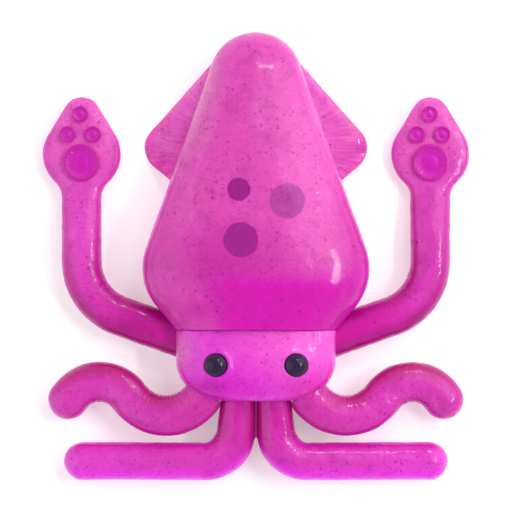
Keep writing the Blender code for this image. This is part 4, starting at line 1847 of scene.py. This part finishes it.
def across_route(
    places: np.ndarray, headings: np.ndarray, across: np.ndarray, up: np.ndarray, side: Side
) -> Rings:
    """Sets sections square to a left limb's route, and mirrors them for a right limb.

    Args:
        places: The stations' positions.
        headings: The stations' headings in radians.
        across: The sections' distances across.
        up: The sections' heights.
        side: The limb's side.

    Returns:
        The rings' points.
    """
    square = np.stack((np.sin(headings), -np.cos(headings)), axis=1)
    plan = places[:, None, :] + square[:, None, :] * across[..., None]
    rings = np.concatenate((plan, up[..., None]), axis=-1)
    rings[..., 0] *= -side.value
    return rings


def bend_creases(rings: Rings, bends: np.ndarray, section: Section, grain: Grain) -> np.ndarray:
    """Folds of slack skin across the inner side of each bend.

    Args:
        rings: The limb's rings.
        bends: Each ring's curvature.
        section: The section that the rings follow.
        grain: The noise that makes them uneven.

    Returns:
        The height to add at each point.
    """
    along = distances(rings.mean(axis=1))
    inner = ease(-np.sign(bends)[:, None] * np.cos(section.angles) * 1.4)
    tightness = np.minimum(1.0, np.abs(bends) * 30.0 * MM)
    kernel = np.hanning(9) / np.hanning(9).sum()
    tightness = np.convolve(tightness, kernel, mode="same")[:, None]
    drift = grain.once(rings, 6.0 * MM)
    wave = np.sin(along[:, None] / (0.56 * MM) + 6.0 * drift)
    return 0.22 * MM * inner * tightness * wave * (0.6 + 0.4 * grain.once(rings, 4.0 * MM))


def wrinkles(rings: Rings, section: Section, grain: Grain) -> np.ndarray:
    """Fine uneven wrinkles that run round a limb, deepest on its flanks.

    Args:
        rings: The limb's rings.
        section: The section that the rings follow.
        grain: The noise that spaces them.

    Returns:
        The height to add at each point.
    """
    along = np.broadcast_to(distances(rings.mean(axis=1))[:, None], rings.shape[:2])
    turn = np.broadcast_to(section.angles, rings.shape[:2])
    unrolled = np.stack((along, 9.0 * MM * np.cos(turn), 9.0 * MM * np.sin(turn)), axis=-1)
    folds = grain.rough(unrolled, (2.6 * MM, 11.0 * MM, 11.0 * MM), 2)
    patches = 0.6 + 0.4 * Grain(grain.seed + 7).once(rings, 15.0 * MM)
    return 0.11 * MM * folds * patches * (1.0 - 0.45 * np.sin(turn))


@dataclass
class Arm:
    """A limp arm with two rows of suckers along its underside."""

    number: int
    side: Side
    skin: Material
    cup: Material
    route: Route
    step: float = 0.8 * MM
    section: Section = Section(count=72)
    layer_z: float = 11.0 * MM
    landing_share: float = 0.94
    sucker_spacing: float = 3.3 * MM
    sucker_radii: tuple[float, float] = (1.7 * MM, 0.8 * MM)
    contact: float = 0.7 * MM
    contact_gap: float = 0.05 * MM

    @property
    def node(self) -> str:
        """The arm's node."""
        return f"arm_{self.number}_{self.side.word}"

    def underside(self, share: np.ndarray) -> np.ndarray:
        """Height of an upper arm's underside, which comes down from the lower arm to the table."""
        return self.layer_z * np.maximum(0.0, 1.0 - share / self.landing_share) ** 1.15

    def shape(self) -> tuple[Rings, np.ndarray, np.ndarray]:
        """The arm's rings, with each ring's curvature and the point that closes its tip."""
        raise NotImplementedError

    def relief(self, rings: Rings, bends: np.ndarray) -> np.ndarray:
        """Muscle, wrinkles, creases in the bends, and a low keel along the back.

        Args:
            rings: The arm's rings.
            bends: Each ring's curvature.

        Returns:
            The height to add at each point.
        """
        muscle = 0.24 * MM * Grain(130 + self.number).rough(rings, 8.0 * MM, 3)
        keel = 0.22 * MM * bump(self.section.angles, math.pi / 2.0, 0.20)
        creases = bend_creases(rings, bends, self.section, Grain(140 + self.number))
        return muscle + keel + creases + wrinkles(rings, self.section, Grain(150 + self.number))

    def pressed(self, rings: Rings) -> Rings:
        """Flattens the rings where the arm lies against its twin on the other side.

        Args:
            rings: The arm's rings, which are changed.

        Returns:
            The same rings.
        """
        out = self.side.value * rings[..., 0]
        rings[..., 0] = self.side.value * np.where(out < self.contact, self.contact_gap, out)
        return rings

    def sucker_places(self, rings: Rings) -> list[tuple[Sucker, Matrix]]:
        """Two rows of suckers, alternating, that shrink towards the tip.

        Args:
            rings: The arm's rings.

        Returns:
            Each sucker with the matrix that sets it on the skin.
        """
        normals = outward(rings)
        along = distances(rings.mean(axis=1))
        columns = [round(self.section.count * angle / 360.0) for angle in (232.0, 308.0)]
        count = int((along[-1] - 3.0 * MM) / self.sucker_spacing * 2.0)
        placed = []
        for i in range(count):
            distance = 2.0 * MM + i * self.sucker_spacing / 2.0
            row = int(np.abs(along - distance).argmin())
            column = columns[i % 2]
            radius = mix(*self.sucker_radii, round(distance / along[-1], 1))
            shape = Sucker(radius=radius, segments=10, rise=0.7 * radius, cup=0.5 * radius, foot=0.5 * radius)
            placed.append((shape, facing(rings[row, column], normals[row, column])))
        return placed

    def build(self) -> None:
        """Makes the arm and its suckers."""
        rings, bends, tip = self.shape()
        rings = self.pressed(relief(rings, self.relief(rings, bends)))
        suckers = self.sucker_places(rings)
        bm = loft(rings, surface_numbers(rings, self.section), last_pole=tip)
        finish_piece(bm, self.node, "arm", self.skin, self.node)
        finish_piece(scattered(suckers), f"{self.node}_suckers", "arm", self.cup, self.node)


@dataclass
class UpperArm(Arm):
    """An arm of the upper layer: thick to its rounded end."""

    half_widths: tuple[float, float, float] = (10.9 * MM, 10.9 * MM, 10.9 * MM)
    widest_share: float = 0.30
    run_share: float = 0.45
    height: float = 16.0 * MM

    def half_width(self, share: np.ndarray) -> np.ndarray:
        """Half width from the root to the widest share and on to the run.

        Args:
            share: Shares of the route's length.

        Returns:
            The half width at each share.
        """
        root, widest, run = self.half_widths
        before = mix(root, widest, share / self.widest_share)
        beyond = (share - self.widest_share) / (self.run_share - self.widest_share)
        return np.where(share < self.widest_share, before, mix(widest, run, ease(beyond)))

    def shape(self) -> tuple[Rings, np.ndarray, np.ndarray]:
        """The arm with its rounded end.

        Returns:
            The rings, each ring's curvature, and the point that closes the tip.
        """
        places, headings, lengths, bends = self.route.stations(self.step)
        share = lengths / lengths[-1]
        half = self.half_width(share)
        bottom = self.underside(share)
        top = bottom + self.height
        turns = np.radians(np.arange(6.0, 88.0, 6.0))
        end, heading = places[-1], headings[-1]
        onward = np.array((math.cos(heading), math.sin(heading)))
        places = np.vstack((places, end + np.outer(np.sin(turns) * half[-1], onward)))
        headings = np.concatenate((headings, np.full(len(turns), heading)))
        bends = np.concatenate((bends, np.zeros(len(turns))))
        middle = self.section.widest * self.height
        bottom = np.concatenate((bottom, mix(middle, 0.0, np.cos(turns))))
        top = np.concatenate((top, mix(middle, self.height, np.cos(turns))))
        tip = end + onward * half[-1]
        half = np.concatenate((half, half[-1] * np.cos(turns)))
        across, up = self.section.rings(half, bottom, top)
        rings = across_route(places, headings, across, up, self.side)
        return rings, bends, np.array((-self.side.value * tip[0], tip[1], middle))


@dataclass
class LowerArm(Arm):
    """An arm of the lower layer: it tapers to a fine tip under the arm that lies on it."""

    half_widths: tuple[float, float] = (7.5 * MM, 1.6 * MM)
    share: float = 0.76
    least_height: float = 1.2 * MM
    clearance: float = 0.6 * MM
    root_from: float = 0.0
    root_lift: float = 1.0 * MM
    root_reach: float = 11.0 * MM
    root_fade: float = 5.0 * MM
    section: Section = Section(count=48)
    sucker_spacing: float = 2.6 * MM
    sucker_radii: tuple[float, float] = (1.2 * MM, 0.5 * MM)

    def shape(self) -> tuple[Rings, np.ndarray, np.ndarray]:
        """The arm, as far as there is room below the arm on top of it.

        Returns:
            The rings, each ring's curvature, and the point that closes the tip.
        """
        places, headings, lengths, bends = self.route.stations(self.step)
        share = lengths / lengths[-1]
        top = self.underside(share) - self.clearance
        keep = (share <= self.share) & (top >= self.least_height) & (lengths >= self.root_from)
        kept = (a[keep] for a in (places, headings, lengths, share, bends, top))
        places, headings, lengths, share, bends, top = kept
        bottom = self.root_lift * ease((self.root_reach + self.root_fade - lengths) / self.root_fade)
        half = mix(*self.half_widths, (share / self.share) ** 1.3)
        across, up = self.section.rings(half, bottom, top)
        rings = across_route(places, headings, across, up, self.side)
        onward = np.array((math.cos(headings[-1]), math.sin(headings[-1])))
        tip = places[-1] + onward * 2.0 * self.half_widths[1]
        return rings, bends, np.array((-self.side.value * tip[0], tip[1], 0.35 * self.least_height))

    def relief(self, rings: Rings, bends: np.ndarray) -> np.ndarray:
        """A lower arm's relief is shallower, to stay clear of the arm on top of it."""
        return 0.3 * super().relief(rings, bends)


BENT_ROUTE = Route(
    (-8.5 * MM, -66.0 * MM),
    265.3,
    [(28.9 * MM, 0.0), arc(16.8 * MM, -85.3), (65.4 * MM, 0.0)],
)
WAVY_ROUTE = Route(
    (-27.3 * MM, -73.4 * MM),
    240.0,
    [arc(24.4 * MM, -113.4), arc(19.9 * MM, 111.7)],
)
BENT_HALF_WIDTHS = (8.4 * MM, 10.8 * MM, 10.2 * MM)


# Studio


@dataclass
class Studio:
    """A pale table, soft lamps and the camera that looks straight down."""

    view_width: float = 274.9 * MM
    lens: float = 300.0
    sensor: float = 36.0
    focus_z: float = 12.0 * MM
    floor_radius: float = 9.0
    floor_colour: Colour = (0.95, 0.95, 0.95)
    floor_glow: float = 0.30
    room_low: float = 0.88
    room_high: float = 0.30

    def floor(self) -> None:
        """Makes the table."""
        bm = bmesh.new()
        bmesh.ops.create_circle(bm, cap_ends=True, segments=96, radius=self.floor_radius)
        bmesh.ops.translate(bm, verts=bm.verts, vec=(0.0, 0.0, -0.1 * MM))
        mesh = bpy.data.meshes.new("table")
        bm.to_mesh(mesh)
        bm.free()
        nodes = Nodes(bpy.data.materials.new("table_top"))
        nodes.shader.inputs["Base Color"].default_value = (*self.floor_colour, 1.0)
        nodes.shader.inputs["Emission Color"].default_value = (1.0, 1.0, 1.0, 1.0)
        nodes.shader.inputs["Emission Strength"].default_value = self.floor_glow
        nodes.shader.inputs["Roughness"].default_value = 0.7
        nodes.shader.inputs["Specular IOR Level"].default_value = 0.2
        mesh.materials.append(nodes.material)
        table = bpy.data.objects.new("table", mesh)
        bpy.context.scene.collection.objects.link(table)

    def lamp(self, name: str, place: Vector, size: tuple[float, float], power: float) -> None:
        """Adds an oval softbox that faces the squid, with its width level.

        Args:
            name: The lamp's name.
            place: Where it stands.
            size: Its width and its height.
            power: Its power in watts.
        """
        light = bpy.data.lights.new(name, "AREA")
        light.shape = "ELLIPSE"
        light.size, light.size_y = size
        light.energy = power
        lamp = bpy.data.objects.new(name, light)
        lamp.location = place
        lamp.rotation_euler = (-place).to_track_quat("-Z", "Y").to_euler()
        bpy.context.scene.collection.objects.link(lamp)

    def camera(self) -> None:
        """Sets the camera above the middle of the footprint."""
        data = bpy.data.cameras.new("camera")
        data.lens = self.lens
        data.sensor_width = self.sensor
        distance = self.view_width * self.lens / self.sensor
        data.clip_end = 50.0
        camera = bpy.data.objects.new("camera", data)
        camera.location = (0.0, 0.0, self.focus_z + distance)
        bpy.context.scene.collection.objects.link(camera)
        bpy.context.scene.camera = camera

    def world(self) -> None:
        """Lights the room from all round, less from straight above, so that deep colours stay deep."""
        scene = bpy.context.scene
        scene.world = bpy.data.worlds.new("room")
        scene.world.use_nodes = True
        tree = scene.world.node_tree
        heights = tree.nodes.new("ShaderNodeSeparateXYZ")
        tree.links.new(tree.nodes.new("ShaderNodeTexCoord").outputs["Generated"], heights.inputs[0])
        fall = tree.nodes.new("ShaderNodeMapRange")
        fall.inputs["To Min"].default_value = self.room_low
        fall.inputs["To Max"].default_value = self.room_high
        tree.links.new(heights.outputs["Z"], fall.inputs["Value"])
        tree.links.new(fall.outputs["Result"], tree.nodes["Background"].inputs["Strength"])
        tree.nodes["Background"].inputs["Color"].default_value = (1.0, 1.0, 1.0, 1.0)
        scene.view_settings.view_transform = "Standard"

    def build(self) -> None:
        """Sets up the whole studio."""
        self.world()
        self.floor()
        self.lamp("key", Vector((0.95, 0.60, 1.0)), (1.5, 1.5), 8.0)
        self.lamp("strip_back", Vector((0.35, 0.95, 1.1)), (0.50, 0.10), 2.2)
        self.lamp("strip_side", Vector((1.05, 0.05, 1.2)), (0.90, 0.10), 5.5)
        self.lamp("fill", Vector((-2.2, -0.35, 1.7)), (3.4, 3.4), 22.0)
        self.camera()


def main() -> None:
    """Builds the squid and its studio."""
    logging.basicConfig(level=logging.INFO, format="%(message)s")
    finishes = Finishes()
    names = ("mantle", "fin", "head", "funnel", "tentacle", "wavy_arm", "bent_arm")
    skins = {name: getattr(finishes, name).make() for name in names}
    club_cup = finishes.club_sucker.make()
    arm_cup = finishes.arm_sucker.make()
    lens = finishes.eye.make()

    mantle = Mantle(skins["mantle"])
    mantle.build()
    funnel = Funnel(skins["funnel"])
    head = Head(mantle, funnel, skins["head"])
    head.build()
    funnel.build()
    for side in Side:
        Fin(side, mantle, skins["fin"]).build()
        eye = Eye(side, head, lens, skins["head"])
        eye.build_globe()
        eye.build_lid()
        Tentacle(side, skins["tentacle"], club_cup).build()
        UpperArm(1, side, skins["bent_arm"], arm_cup, BENT_ROUTE, half_widths=BENT_HALF_WIDTHS).build()
        UpperArm(2, side, skins["wavy_arm"], arm_cup, WAVY_ROUTE).build()
        LowerArm(3, side, skins["wavy_arm"], arm_cup, WAVY_ROUTE).build()
        LowerArm(4, side, skins["bent_arm"], arm_cup, BENT_ROUTE, root_from=4.5 * MM).build()
    Studio().build()


if __name__ == "__main__":
    main()
